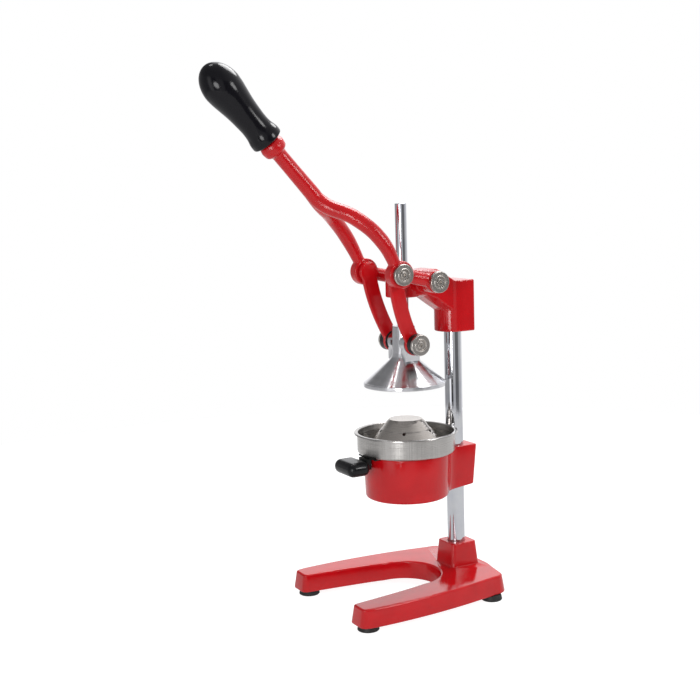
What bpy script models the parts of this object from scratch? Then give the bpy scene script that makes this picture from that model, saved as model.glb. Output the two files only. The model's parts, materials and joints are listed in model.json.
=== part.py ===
"""Hand-operated citrus press juicer, as separate parts on their joint axes.

Metres, +Z up. The press stands on z = 0, its legs point to -Y and x = 0 is its plane of symmetry.
The lever turns on the fulcrum, the links hang from it, and the press cone slides down over the reamer.
"""
import math

import bmesh
import bpy
from mathutils import Matrix, Vector

# ---- driving dimensions ----------------------------------------------------------------------
GAP = 0.0003                    # between parts that touch
COLUMN_Y = 0.1424               # column axis; the slide axis lies in front of it
SLIDE_Y = COLUMN_Y - 0.0712
COLUMN_R = 0.0109
COLUMN_BOTTOM = 0.0260
COLUMN_TOP = 0.3840
ROD_R = 0.0070
ROD_TOP = 0.4840

FOOT_H = 0.0073
FOOT_R = 0.0129
BASE_TOP = 0.0292
BASE_FRONT_Y = COLUMN_Y - 0.1860
BASE_REAR_Y = COLUMN_Y + 0.0310
BASE_DRAFT = 0.0035
BASE_ROUND = 0.0020
POST_TOP = 0.0583
POCKET_TOP = 0.0190             # ceiling of the bolt pocket under the base
POST_HALF_TOP = 0.0177
POST_HALF_BOTTOM = 0.0202
FEET = ((0.0740, COLUMN_Y - 0.1735), (0.0704, COLUMN_Y + 0.0030))

HEAD_R = 0.0225
HEAD_BOTTOM = 0.3260
HEAD_TOP = 0.3890
HEAD_REAR = 0.0186
ARM_HALF = 0.0194
ARM_TOP = 0.4045
GUIDE_BOTTOM = 0.3725
GUIDE_R = 0.0205
CROSS_BOSS_R = 0.0130
CROSS_BOSS_HALF = 0.0334

FULCRUM = (COLUMN_Y - 0.0510, 0.3913)       # (y, z) of the lever's fixed pivot
LINK_PIVOT = (COLUMN_Y - 0.1001, 0.4026)    # links on the lever
CONE_PIVOT = (SLIDE_Y, 0.3170)              # links on the press cone
EYE_IN, EYE_OUT = 0.0341, 0.0482            # lever eyes, from x = 0
EYE_MID = (EYE_IN + EYE_OUT) / 2
LINK_TOP_IN, LINK_TOP_OUT = 0.0272, 0.0337  # the link's eye on the lever
LINK_END_IN, LINK_END_OUT = 0.0222, 0.0268  # its eye on the cone
BOLT_R = 0.0129
BOLT_FACE = 0.0530
SHOULDER_R = 0.0060
THREAD_R = 0.0040

HANDLE_FOOT = (COLUMN_Y - 0.1845, 0.4940)   # handle axis, where the fork begins
HANDLE_COLLAR = (COLUMN_Y - 0.2335, 0.5487)
GRIP_START = 0.0130                         # along the handle, from the collar's foot
GRIP_END = 0.1210
GRIP_R = 0.0222                             # at the swelling, where the round end begins
GRIP_CAP = 0.0305                           # length of the round end

CONE_RIM_Z = 0.2646
CONE_RIM_R = 0.0500
CONE_LIP = 0.0048
CONE_WALL = 0.0025
NECK_R = 0.0140
NECK_TOP = 0.3375
LUG_HALF = 0.0205

HOLDER_TOP = 0.1825
HOLDER_BOTTOM = 0.1281
HOLDER_R_TOP = 0.0530
HOLDER_R_BOTTOM = 0.0512
HOLDER_BORE = 0.0472
LEDGE_Z = 0.1500
LEDGE_R = 0.0440
CLAMP_HALF = 0.0175
CLAMP_REAR = 0.0221
CLAMP_FILLET = 0.0240                       # concave blend from the ring to the clamp

CUP_R = 0.0598
CUP_BOTTOM = 0.1831
CUP_RIM_Z = 0.2086
CUP_RIM_R = 0.0635
SHEET = 0.0012
COLLAR_R = 0.0466
COLLAR_BOTTOM = 0.1770
REAMER_TOP = 0.2235
BRACKET_HALF = 0.0200                       # black plate that carries the cup's handle
BRACKET_LOW = 0.1811
BRACKET_HIGH = 0.1828
BRACKET_FRONT_Y = SLIDE_Y - 0.0560
WEB_HALF = 0.0095                           # its web, which hangs down behind the knob
WEB_LOW = 0.1690
WEB_REAR_Y = SLIDE_Y - 0.0550
KNOB_HALF = 0.0225
KNOB_LENGTH = 0.0290
KNOB_REAR_Y = SLIDE_Y - 0.0620
KNOB_LOW = 0.1643
KNOB_HIGH = 0.1816
RIVET_X, RIVET_Z = 0.0052, 0.1745

PARTS = "citrus_press_juicer"
CUTTERS = "cutters"


# ---- scene and materials ---------------------------------------------------------------------
def clear_scene():
    for item in list(bpy.data.objects):
        bpy.data.objects.remove(item, do_unlink=True)
    for name in (PARTS, CUTTERS):
        bpy.context.scene.collection.children.link(bpy.data.collections.new(name))


def material(name, colour, roughness, metallic=0.0):
    mat = bpy.data.materials.get(name) or bpy.data.materials.new(name)
    mat.use_nodes = True
    shader = mat.node_tree.nodes["Principled BSDF"]
    shader.inputs["Base Color"].default_value = (*colour, 1.0)
    shader.inputs["Roughness"].default_value = roughness
    shader.inputs["Metallic"].default_value = metallic
    return mat


def red_enamel(part):
    return material("red_enamel_" + part, (0.48, 0.006, 0.010), 0.18)


def chrome(part):
    return material("chrome_" + part, (0.80, 0.81, 0.83), 0.08, 1.0)


def stainless(part):
    return material("stainless_" + part, (0.60, 0.59, 0.57), 0.30, 1.0)


def polished_aluminium(part):
    return material("aluminium_" + part, (0.78, 0.78, 0.79), 0.18, 1.0)


def nickel_bolt(part):
    return material("nickel_" + part, (0.52, 0.49, 0.46), 0.30, 1.0)


def zinc_steel(part):
    return material("zinc_" + part, (0.55, 0.56, 0.58), 0.35, 1.0)


def black_plastic(part):
    return material("black_plastic_" + part, (0.010, 0.010, 0.012), 0.18)


def black_nylon(part):
    return material("black_nylon_" + part, (0.012, 0.012, 0.012), 0.45)


def black_rubber(part):
    return material("black_rubber_" + part, (0.015, 0.015, 0.015), 0.75)


def bronze(part):
    return material("bronze_" + part, (0.55, 0.36, 0.16), 0.35, 1.0)


# ---- modelling helpers -----------------------------------------------------------------------
def place(name, data, mat=None, helper=False):
    """Put a mesh or curve in its collection; a helper is only a Boolean operand."""
    item = bpy.data.objects.new(name, data)
    bpy.data.collections[CUTTERS if helper else PARTS].objects.link(item)
    if mat:
        data.materials.append(mat)
    if helper:
        item.hide_render = True
        item.display_type = "WIRE"
    return item


def smooth(item, degrees=35):
    item.data.shade_smooth()
    item.data.set_sharp_from_angle(angle=math.radians(degrees))


def turned(name, profile, mat=None, steps=32, closed=False, helper=False):
    """Solid of revolution about local Z; the (radius, height) profile runs down its outer side."""
    points = [(r, 0.0, z) for r, z in profile]
    edges = [(i, i + 1) for i in range(len(points) - 1)]
    if closed:
        edges.append((len(points) - 1, 0))
    mesh = bpy.data.meshes.new(name)
    mesh.from_pydata(points, edges, [])
    item = place(name, mesh, mat, helper)
    screw = item.modifiers.new("turn", "SCREW")
    screw.axis = "Z"
    screw.steps = screw.render_steps = steps
    screw.use_merge_vertices = True
    screw.merge_threshold = 0.00005
    screw.use_smooth_shade = True
    return item


def lofted(name, rings, mat=None, helper=False):
    """Closed solid through rings of equal point count."""
    count = len(rings[0])
    last = (len(rings) - 1) * count
    faces = [tuple(range(count)), tuple(range(last, last + count))]
    for k in range(len(rings) - 1):
        for i in range(count):
            j = (i + 1) % count
            faces.append((k * count + i, k * count + j, (k + 1) * count + j, (k + 1) * count + i))
    mesh = bpy.data.meshes.new(name)
    mesh.from_pydata([tuple(p) for ring in rings for p in ring], [], faces)
    shell = bmesh.new()
    shell.from_mesh(mesh)
    bmesh.ops.recalc_face_normals(shell, faces=shell.faces)
    shell.to_mesh(mesh)
    shell.free()
    item = place(name, mesh, mat, helper)
    smooth(item)
    return item


def cylinder(name, radius, length, centre, axis="Z", mat=None, helper=False, sides=32):
    """Plain cylinder centred on a point, along one axis."""
    mesh = bpy.data.meshes.new(name)
    shell = bmesh.new()
    bmesh.ops.create_cone(shell, cap_ends=True, segments=sides, radius1=radius, radius2=radius,
                          depth=length)
    offset = Matrix.Rotation(0.37 * math.pi / sides, 3, "Z")    # its corners miss those of turned pieces
    bmesh.ops.rotate(shell, matrix=offset, verts=shell.verts)
    shell.to_mesh(mesh)
    shell.free()
    item = place(name, mesh, mat, helper)
    item.rotation_euler = {"X": (0, math.pi / 2, 0), "Y": (math.pi / 2, 0, 0), "Z": (0, 0, 0)}[axis]
    item.location = centre
    smooth(item)
    return item


def box(name, low, high, mat=None, helper=False):
    """Plain box between two corners."""
    mesh = bpy.data.meshes.new(name)
    shell = bmesh.new()
    bmesh.ops.create_cube(shell, size=1.0)
    size = [b - a for a, b in zip(low, high)]
    centre = [(a + b) / 2 for a, b in zip(low, high)]
    bmesh.ops.scale(shell, vec=size, verts=shell.verts)
    bmesh.ops.translate(shell, vec=centre, verts=shell.verts)
    shell.to_mesh(mesh)
    shell.free()
    return place(name, mesh, mat, helper)


def combine(item, operand, operation):
    step = item.modifiers.new(operation.lower() + "_" + operand.name, "BOOLEAN")
    step.operation = operation
    step.solver = "EXACT"
    step.object = operand


def join(item, *operands):
    for operand in operands:
        combine(item, operand, "UNION")


def cut(item, *operands):
    for operand in operands:
        combine(item, operand, "DIFFERENCE")


def round_edges(item, width, segments=2, degrees=40):
    bevel = item.modifiers.new("rounded", "BEVEL")
    bevel.width = width
    bevel.segments = segments
    bevel.limit_method = "ANGLE"
    bevel.angle_limit = math.radians(degrees)


def arc(centre, radius, start, end, count):
    """Points on a circle, angles in degrees, both ends included."""
    points = []
    for k in range(count + 1):
        a = math.radians(start + (end - start) * k / count)
        points.append((centre[0] + radius * math.cos(a), centre[1] + radius * math.sin(a)))
    return points


def grown(outline, distance):
    """Outline moved outwards along its own normals; it runs counter-clockwise."""
    moved = []
    count = len(outline)
    for i, (x, y) in enumerate(outline):
        before, after = outline[i - 1], outline[(i + 1) % count]
        along = Vector((after[0] - before[0], after[1] - before[1])).normalized()
        moved.append((x + along.y * distance, y - along.x * distance))
    return moved


def at_height(outline, z):
    return [(x, y, z) for x, y in outline]


# ---- base ------------------------------------------------------------------------------------
def base_outline():
    """Top outline of the horseshoe, counter-clockwise: outer sides bow out, the gap ends in an arc."""
    half = []
    inner_front = 0.0615
    gap_half, gap_depth, gap_centre = 0.0470, 0.0480, COLUMN_Y - 0.0810
    for k in range(9):                                   # end of the gap, from its rear middle
        a = math.radians(90 - 90 * k / 8)
        half.append((gap_half * math.cos(a), gap_centre + gap_depth * math.sin(a)))
    for y in (COLUMN_Y - 0.110, COLUMN_Y - 0.140, COLUMN_Y - 0.165):
        half.append((gap_half + (inner_front - gap_half) * ((gap_centre - y) / 0.105) ** 0.8, y))
    half += arc((inner_front + 0.003, BASE_FRONT_Y + 0.004), 0.004, 190, 270, 3)
    half += arc((0.0875 - 0.006, BASE_FRONT_Y + 0.006), 0.006, 270, 352, 4)
    for k in range(1, 9):                                # bowed outer side
        y = BASE_FRONT_Y + 0.010 + (COLUMN_Y + 0.002 - BASE_FRONT_Y - 0.010) * k / 8
        t = (y - COLUMN_Y + 0.095) / 0.095
        half.append((0.0884 - 0.0058 * t - 0.0065 * t * t, y))
    half += arc((0.0612, COLUMN_Y + 0.0080), 0.0140, 0, 72, 5)
    half += [(0.045, COLUMN_Y + 0.0255), (0.024, BASE_REAR_Y - 0.0008)]
    half.append((0.0, BASE_REAR_Y))
    return half + [(-x, y) for x, y in reversed(half[1:-1])]


def post_ring(half, z):
    """Rounded square round the column, four points a corner."""
    corner = 0.004
    centre = (half - corner, half - corner)
    quarter = arc(centre, corner, 0, 90, 3)
    ring = []
    for turn in range(4):
        c, s = round(math.cos(turn * math.pi / 2)), round(math.sin(turn * math.pi / 2))
        ring += [(c * x - s * y, COLUMN_Y + 0.0010 + s * x + c * y, z) for x, y in quarter]
    return ring


def base_casting():
    outline = base_outline()
    rings = [
        at_height(grown(outline, BASE_DRAFT), FOOT_H),
        at_height(grown(outline, BASE_ROUND * 0.3), BASE_TOP - BASE_ROUND),
        at_height(grown(outline, -BASE_ROUND * 0.3), BASE_TOP - BASE_ROUND * 0.3),
        at_height(grown(outline, -BASE_ROUND), BASE_TOP),
    ]
    base = lofted("base_casting", rings, red_enamel("base"))
    post = lofted("post_block", [
        post_ring(POST_HALF_BOTTOM, BASE_TOP - 0.004),
        post_ring(POST_HALF_TOP + 0.0004, POST_TOP - 0.001),
        post_ring(POST_HALF_TOP - 0.0010, POST_TOP),
    ], helper=True)
    socket = cylinder("column_socket", COLUMN_R + GAP, 0.05, (0, COLUMN_Y, COLUMN_BOTTOM - GAP + 0.025),
                      helper=True)
    pocket = cylinder("bolt_pocket", 0.0110, 0.020, (0, COLUMN_Y, POCKET_TOP - 0.010), helper=True)
    shaft = cylinder("bolt_shaft_hole", THREAD_R + GAP, 0.04, (0, COLUMN_Y, FOOT_H + 0.018),
                     helper=True, sides=16)
    join(base, post)
    cut(base, socket, pocket, shaft)
    for x, y in FEET:
        for side in (-1, 1):
            hole = cylinder("foot_screw_hole", 0.0022, 0.028, (side * x, y, FOOT_H), helper=True,
                            sides=12)
            cut(base, hole)


def feet():
    top = FOOT_H - GAP
    rubber = [(0.0115, top), (FOOT_R, 0.0008), (FOOT_R - 0.0008, 0.0), (0.0050, 0.0), (0.0050, 0.0035),
              (0.0022, 0.0035), (0.0022, top)]
    screw = [(0.0, 0.0200), (0.0019, 0.0200), (0.0019, 0.0032), (0.0042, 0.0032), (0.0036, 0.0010),
             (0.0, 0.0010)]
    for row, (x, y) in zip(("front", "rear"), FEET):
        for label, side in (("left", -1), ("right", 1)):
            foot = turned(f"foot_{row}_{label}", rubber, black_rubber("foot"), 20, closed=True)
            foot.location = (side * x, y, 0)
            pin = turned(f"foot_screw_{row}_{label}", screw, zinc_steel("foot_screw"), 12)
            pin.location = (side * x, y, 0)


def column():
    bar = turned("column", [
        (0.0, COLUMN_TOP), (COLUMN_R - 0.001, COLUMN_TOP), (COLUMN_R, COLUMN_TOP - 0.001),
        (COLUMN_R, COLUMN_BOTTOM), (THREAD_R + GAP, COLUMN_BOTTOM),
        (THREAD_R + GAP, COLUMN_BOTTOM + 0.022), (0.0, COLUMN_BOTTOM + 0.022),
    ], chrome("column"), 32)
    bar.location = (0, COLUMN_Y, 0)
    seat = POCKET_TOP - GAP
    washer = turned("column_bolt_washer", [
        (0.0090, seat), (0.0090, seat - 0.0015), (0.0043, seat - 0.0015), (0.0043, seat),
    ], zinc_steel("washer"), 24, closed=True)
    washer.location = (0, COLUMN_Y, 0)
    under = seat - 0.0015 - GAP
    bolt = turned("column_bolt", [
        (0.0, COLUMN_BOTTOM + 0.020), (THREAD_R, COLUMN_BOTTOM + 0.020), (THREAD_R, under),
        (0.0070, under), (0.0070, under - 0.005), (0.0, under - 0.005),
    ], zinc_steel("column_bolt"), 18)
    bolt.location = (0, COLUMN_Y, 0)


# ---- head ------------------------------------------------------------------------------------
def head_block_outline():
    """Round in front, square behind, counter-clockwise."""
    corner = 0.0020
    rear = HEAD_REAR - corner
    points = arc((0, 0), HEAD_R, 180, 360, 20)
    points += arc((HEAD_R - corner, rear), corner, 0, 90, 3)
    points += arc((-HEAD_R + corner, rear), corner, 90, 180, 3)
    return [(x, COLUMN_Y + y) for x, y in points]


def arm_section(y, top, side, keel):
    """Six-sided section of the head's arm: flat sides, chamfered keel."""
    half, keel_half = ARM_HALF, 0.0110
    return [(half, y, top), (half, y, side), (keel_half, y, keel),
            (-keel_half, y, keel), (-half, y, side), (-half, y, top)]


def head_casting():
    outline = head_block_outline()
    edge = 0.0012
    head = lofted("head_casting", [
        at_height(grown(outline, -edge), HEAD_BOTTOM),
        at_height(outline, HEAD_BOTTOM + edge),
        at_height(outline, HEAD_TOP - edge),
        at_height(grown(outline, -edge), HEAD_TOP),
    ], red_enamel("head"))
    y = COLUMN_Y
    arm = lofted("head_arm", [
        arm_section(SLIDE_Y, ARM_TOP, GUIDE_BOTTOM + 0.0020, GUIDE_BOTTOM + 0.0004),
        arm_section(y - 0.0480, ARM_TOP, 0.3750, 0.3715),
        arm_section(y - 0.0330, ARM_TOP, 0.3690, 0.3610),
        arm_section(y - 0.0070, HEAD_TOP - 0.0002, 0.3500, 0.3435),
        arm_section(y - 0.0020, HEAD_TOP - 0.0002, 0.3480, 0.3420),
    ], helper=True)
    guide = turned("rod_guide_boss", [
        (0.0, ARM_TOP + 0.0004), (GUIDE_R - 0.0012, ARM_TOP + 0.0004), (GUIDE_R, ARM_TOP - 0.0008),
        (GUIDE_R, GUIDE_BOTTOM + 0.0010), (GUIDE_R - 0.0010, GUIDE_BOTTOM), (0.0, GUIDE_BOTTOM),
    ], helper=True)
    guide.location = (0, SLIDE_Y, 0)
    cross = cylinder("fulcrum_boss", CROSS_BOSS_R, 2 * CROSS_BOSS_HALF, (0, *FULCRUM), "X", helper=True)
    join(head, arm, guide, cross)
    socket = cylinder("head_column_socket", COLUMN_R + GAP, 0.0700,
                      (0, COLUMN_Y, COLUMN_TOP + GAP - 0.0350), helper=True)
    bore = cylinder("bush_bore", 0.0098, 0.060, (0, SLIDE_Y, 0.388), helper=True)
    screw_hole = cylinder("head_screw_hole", 0.0032, 0.020, (0, COLUMN_Y + 0.0180, 0.3575), "Y",
                          helper=True, sides=16)
    cut(head, socket, bore, screw_hole)
    for side in (-1, 1):
        hole = cylinder("fulcrum_thread", THREAD_R + GAP, 0.030, (side * 0.0290, *FULCRUM), "X",
                        helper=True, sides=16)
        cut(head, hole)


def rod_bush():
    low, high = GUIDE_BOTTOM + 0.0005, ARM_TOP + 0.0002
    bush = turned("rod_guide_bush", [
        (0.0095, high), (0.0095, low), (ROD_R + GAP, low), (ROD_R + GAP, high),
    ], bronze("bush"), 24, closed=True)
    bush.location = (0, SLIDE_Y, 0)


def grub_screw(name, z):
    """Socket set screw that bears on the back of the column."""
    length = 0.0052
    screw = turned(name, [
        (0.0, length), (0.0022, length), (0.0029, length - 0.0006), (0.0029, 0.0), (0.0, 0.0),
    ], zinc_steel(name), 16)
    screw.rotation_euler = (-math.pi / 2, 0, 0)
    screw.location = (0, COLUMN_Y + COLUMN_R + GAP, z)
    socket = cylinder(name + "_socket", 0.0014, 0.005, (0, COLUMN_Y + COLUMN_R + GAP + length, z), "Y",
                      helper=True, sides=6)
    cut(screw, socket)


# ---- shoulder bolts --------------------------------------------------------------------------
def pivot_bolt(name, side, centre, face, head_h, head_r, shank):
    """Bolt along X: disc head with a hex socket, then its shank steps inwards.

    shank is a list of (radius, end) pairs, each end a distance from x = 0.
    """
    profile = [(0.0, face), (head_r - 0.0008, face), (head_r, face - 0.0008), (head_r, face - head_h)]
    height = face - head_h
    for radius, end in shank:
        profile += [(radius, height), (radius, end)]
        height = end
    profile.append((0.0, height))
    bolt = turned(name, profile, nickel_bolt("pivot_bolt"), 22)
    bolt.rotation_euler = (0, side * math.pi / 2, 0)
    bolt.location = (0, *centre)
    socket = cylinder(name + "_socket", 0.0029, 0.0050, (side * face, *centre), "X", helper=True, sides=6)
    cut(bolt, socket)


def pivot_bolts():
    under_head = EYE_OUT + GAP
    for label, side in (("left", -1), ("right", 1)):
        pivot_bolt(f"fulcrum_bolt_{label}", side, FULCRUM, BOLT_FACE, BOLT_FACE - under_head, BOLT_R,
                   [(SHOULDER_R, CROSS_BOSS_HALF + GAP), (THREAD_R, 0.0160)])
        pivot_bolt(f"link_bolt_{label}", side, LINK_PIVOT, BOLT_FACE, BOLT_FACE - under_head, BOLT_R,
                   [(SHOULDER_R, LINK_TOP_OUT + GAP), (THREAD_R, LINK_TOP_IN + 0.0020)])
        pivot_bolt(f"cone_bolt_{label}", side, CONE_PIVOT, 0.0398, 0.0040, 0.0128,
                   [(0.0050, LINK_END_IN + GAP)])


# ---- lever -----------------------------------------------------------------------------------
def handle_angle():
    dy = HANDLE_FOOT[0] - HANDLE_COLLAR[0]
    dz = HANDLE_COLLAR[1] - HANDLE_FOOT[1]
    return math.atan2(dy, dz)


def on_handle(item):
    """Lay a turned piece on the handle's axis, its zero at the collar's foot."""
    item.location = (0, *HANDLE_COLLAR)
    item.rotation_euler = (handle_angle(), 0, 0)


def fork_arm(side):
    """One arm of the fork, from the handle's foot out and down to its link eye."""
    name = f"fork_arm_{'left' if side < 0 else 'right'}"
    path = [((0.0030, COLUMN_Y - 0.1790, 0.4880), 0.0092), ((0.0280, COLUMN_Y - 0.1481, 0.4690), 0.0090),
            ((0.0402, COLUMN_Y - 0.1220, 0.4425), 0.0087), ((EYE_MID, LINK_PIVOT[0], LINK_PIVOT[1]), 0.0065)]
    curve = bpy.data.curves.new(name, "CURVE")
    curve.dimensions = "3D"
    curve.resolution_u = 4
    curve.bevel_depth = 1.0
    curve.bevel_resolution = 3
    curve.use_fill_caps = True
    spline = curve.splines.new("BEZIER")
    spline.bezier_points.add(len(path) - 1)
    for point, ((x, y, z), radius) in zip(spline.bezier_points, path):
        point.co = (side * x, y, z)
        point.radius = radius
        point.handle_left_type = point.handle_right_type = "AUTO"
    tube = place(name + "_curve", curve, helper=True)
    bpy.context.view_layer.update()
    mesh = bpy.data.meshes.new_from_object(tube.evaluated_get(bpy.context.evaluated_depsgraph_get()))
    shell = bmesh.new()
    shell.from_mesh(mesh)
    bmesh.ops.remove_doubles(shell, verts=shell.verts, dist=0.00001)
    shell.to_mesh(mesh)
    shell.free()
    arm = place(name, mesh, helper=True)
    arm.matrix_world = tube.matrix_world
    bpy.data.objects.remove(tube, do_unlink=True)
    return arm


def eye_disc(name, side, centre, radius, x_in, x_out, edge=0.0012):
    """Disc with softened edges round a pivot, between two distances from x = 0."""
    disc = turned(name, [
        (0.0, x_out), (radius - edge, x_out), (radius, x_out - edge), (radius, x_in + edge),
        (radius - edge, x_in), (0.0, x_in),
    ], steps=24, helper=True)
    disc.rotation_euler = (0, side * math.pi / 2, 0)
    disc.location = (0, *centre)
    return disc


def eye_bar(side):
    """Oval bar between the link eye and the fulcrum eye."""
    start, end = Vector((0, *LINK_PIVOT)), Vector((0, *FULCRUM))
    along = (end - start).normalized()
    across = Vector((1, 0, 0)).cross(along)
    rings = []
    for point in (start, end):
        ring = []
        for k in range(12):
            a = 2 * math.pi * k / 12
            offset = Vector((math.cos(a) * 0.0068, 0, 0)) + across * math.sin(a) * 0.0080
            ring.append(point + Vector((side * EYE_MID, 0, 0)) + offset)
        rings.append(ring)
    return lofted(f"eye_bar_{'left' if side < 0 else 'right'}", rings, helper=True)


def lever_casting():
    foot = -(Vector(HANDLE_COLLAR) - Vector(HANDLE_FOOT)).length
    lever = turned("lever_casting", [
        (0.0, 0.1000), (0.0050, 0.1000), (0.0060, 0.0985), (0.0060, 0.0118), (0.0118, 0.0112),
        (0.0140, 0.0085), (0.0146, 0.0045), (0.0138, 0.0005), (0.0112, -0.0030), (0.0086, -0.0050),
        (0.0087, -0.0300), (0.0093, foot + 0.004), (0.0088, foot - 0.004), (0.0060, foot - 0.0085),
        (0.0, foot - 0.0100),
    ], red_enamel("lever"), 22)
    on_handle(lever)
    for side in (-1, 1):
        join(lever, fork_arm(side), eye_bar(side))
        join(lever, eye_disc(f"link_eye_{side}", side, LINK_PIVOT, 0.0163, EYE_IN, EYE_OUT))
        join(lever, eye_disc(f"fulcrum_eye_{side}", side, FULCRUM, 0.0136, EYE_IN, EYE_OUT))
    for side in (-1, 1):
        for centre in (LINK_PIVOT, FULCRUM):
            bore = cylinder("eye_bore", SHOULDER_R + GAP, 0.030, (side * EYE_MID, *centre), "X",
                            helper=True, sides=20)
            cut(lever, bore)
    pin_hole = cylinder("grip_pin_hole", 0.0018, 0.040, (0, *HANDLE_COLLAR), "X", helper=True, sides=12)
    pin_hole.location = Vector((0, *HANDLE_COLLAR)) + handle_direction() * 0.0045
    cut(lever, pin_hole)


def handle_direction():
    a = handle_angle()
    return Vector((0, -math.sin(a), math.cos(a)))


def grip():
    rise = [(GRIP_START + 0.0012, 0.0172), (0.0165, 0.0189), (0.0210, 0.0186), (0.0285, 0.0168),
            (0.0370, 0.0162), (0.0470, 0.0167), (0.0600, 0.0179), (0.0720, 0.0198), (0.0820, 0.0214),
            (GRIP_END - GRIP_CAP, GRIP_R)]
    outer = [(0.0, GRIP_END)]
    for k in range(1, 6):
        a = math.radians(90 * k / 6)
        outer.append((GRIP_R * math.sin(a), GRIP_END - GRIP_CAP * (1 - math.cos(a))))
    outer += [(r, s) for s, r in reversed(rise)]
    outer += [(0.0165, GRIP_START), (0.0064, GRIP_START), (0.0064, 0.1010), (0.0, 0.1010)]
    handle = turned("grip", outer, black_plastic("grip"), 22)
    on_handle(handle)
    pin = turned("grip_pin", [(0.0, 0.0135), (0.0015, 0.0135), (0.0015, -0.0135), (0.0, -0.0135)],
                 zinc_steel("grip_pin"), 12)
    pin.rotation_euler = (0, math.pi / 2, 0)
    pin.location = Vector((0, *HANDLE_COLLAR)) + handle_direction() * 0.0045


# ---- links -----------------------------------------------------------------------------------
def bezier(points, t):
    """Point of a cubic curve with the four given control points."""
    weights = ((1 - t) ** 3, 3 * t * (1 - t) ** 2, 3 * t * t * (1 - t), t ** 3)
    return sum((w * Vector(p) for w, p in zip(weights, points)), Vector((0, 0)))


def link(label, side):
    bow = [LINK_PIVOT, (COLUMN_Y - 0.0960, 0.3710), (COLUMN_Y - 0.0870, 0.3430), CONE_PIVOT]
    half_width = 0.0098
    top_x = (LINK_TOP_IN + LINK_TOP_OUT) / 2
    end_x = (LINK_END_IN + LINK_END_OUT) / 2
    corner = 0.0010
    rings = []
    steps = 9
    for k in range(steps + 1):
        t = 0.03 + 0.94 * k / steps                      # both ends stay inside the eyes
        here = bezier(bow, t)
        along = (bezier(bow, min(t + 0.01, 1)) - bezier(bow, max(t - 0.01, 0))).normalized()
        across = Vector((-along.y, along.x))
        blend = t * t * (3 - 2 * t)
        x_mid = top_x + (end_x - top_x) * blend
        half_thick = 0.0031 - 0.0010 * blend
        ring = []
        for u, v in ((-1, -0.6), (-0.85, -1), (0.85, -1), (1, -0.6), (1, 0.6), (0.85, 1), (-0.85, 1),
                     (-1, 0.6)):
            spot = here + across * (u * half_width)
            ring.append((side * (x_mid + v * half_thick), spot.x, spot.y))
        rings.append(ring)
    piece = lofted(f"link_{label}", rings, red_enamel("link"))
    join(piece, eye_disc(f"link_top_{label}", side, LINK_PIVOT, 0.0122, LINK_TOP_IN, LINK_TOP_OUT, corner))
    join(piece, eye_disc(f"link_end_{label}", side, CONE_PIVOT, 0.0134, LINK_END_IN, LINK_END_OUT, corner))
    thread = cylinder(f"link_thread_{label}", THREAD_R + GAP, 0.0100,
                      (side * (LINK_TOP_IN + 0.0017 + 0.0050), *LINK_PIVOT), "X", helper=True, sides=16)
    bore = cylinder(f"link_bore_{label}", 0.0050 + GAP, 0.0200, (side * end_x, *CONE_PIVOT), "X",
                    helper=True, sides=20)
    cut(piece, thread, bore)


def nylon_ring(name, side, x_in, x_out, radius):
    ring = turned(name, [
        (radius - 0.0004, x_out), (radius, x_out - 0.0004), (radius, x_in), (0.0053, x_in),
        (0.0053, x_out),
    ], black_nylon("bush"), 20, closed=True)
    ring.rotation_euler = (0, side * math.pi / 2, 0)
    ring.location = (0, *CONE_PIVOT)


def links():
    for label, side in (("left", -1), ("right", 1)):
        link(label, side)
        nylon_ring(f"cone_bush_{label}", side, LINK_END_OUT + GAP, 0.0398 - 0.0040 - GAP, 0.0126)


# ---- press -----------------------------------------------------------------------------------
def press():
    rod = turned("press_rod", [
        (0.0, ROD_TOP), (ROD_R - 0.0008, ROD_TOP), (ROD_R, ROD_TOP - 0.0008), (ROD_R, 0.3120),
        (0.0, 0.3120),
    ], chrome("rod"), 32)
    rod.location = (0, SLIDE_Y, 0)
    rim, lip = CONE_RIM_R, CONE_RIM_Z + CONE_LIP
    slope = 0.845                                        # rise of the flare for each unit inwards
    shoulder_r = 0.0185
    shoulder_z = lip + (rim - shoulder_r) * slope
    inner_top_r = 0.0150
    inner_z = lip + (rim - inner_top_r) * slope - 0.0048
    cone = turned("press_cone", [
        (0.0, NECK_TOP), (NECK_R - 0.0010, NECK_TOP), (NECK_R, NECK_TOP - 0.0010),
        (NECK_R, shoulder_z + 0.0090), (0.0154, shoulder_z + 0.0038), (shoulder_r, shoulder_z),
        (rim - 0.0012, lip + 0.0006), (rim, lip - 0.0008), (rim, CONE_RIM_Z + 0.0006),
        (rim - 0.0006, CONE_RIM_Z), (rim - CONE_WALL, CONE_RIM_Z), (rim - CONE_WALL - 0.0006, lip - 0.0022),
        (inner_top_r, inner_z), (0.0, inner_z),
    ], polished_aluminium("cone"), 36)
    cone.location = (0, SLIDE_Y, 0)
    low = CONE_PIVOT[1] - 0.0215
    lug = box("lug_block", (-LUG_HALF, SLIDE_Y - 0.0100, low), (LUG_HALF, SLIDE_Y + 0.0100, CONE_PIVOT[1]),
              helper=True)
    boss = cylinder("lug_boss", 0.0118, 2 * LUG_HALF + 0.0002, (0, *CONE_PIVOT), "X", helper=True)
    join(cone, lug, boss)
    bore = cylinder("rod_thread", ROD_R + GAP, 0.040, (0, SLIDE_Y, 0.3117 + 0.0200), helper=True)
    cut(cone, bore)
    for label, side in (("left", -1), ("right", 1)):
        washer = turned(f"lug_washer_{label}", [
            (0.0, LINK_END_IN - GAP), (0.0130, LINK_END_IN - GAP), (0.0130, LUG_HALF + 0.0001 + GAP),
            (0.0, LUG_HALF + 0.0001 + GAP),
        ], black_nylon("washer"), 20)
        washer.rotation_euler = (0, side * math.pi / 2, 0)
        washer.location = (0, *CONE_PIVOT)


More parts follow.
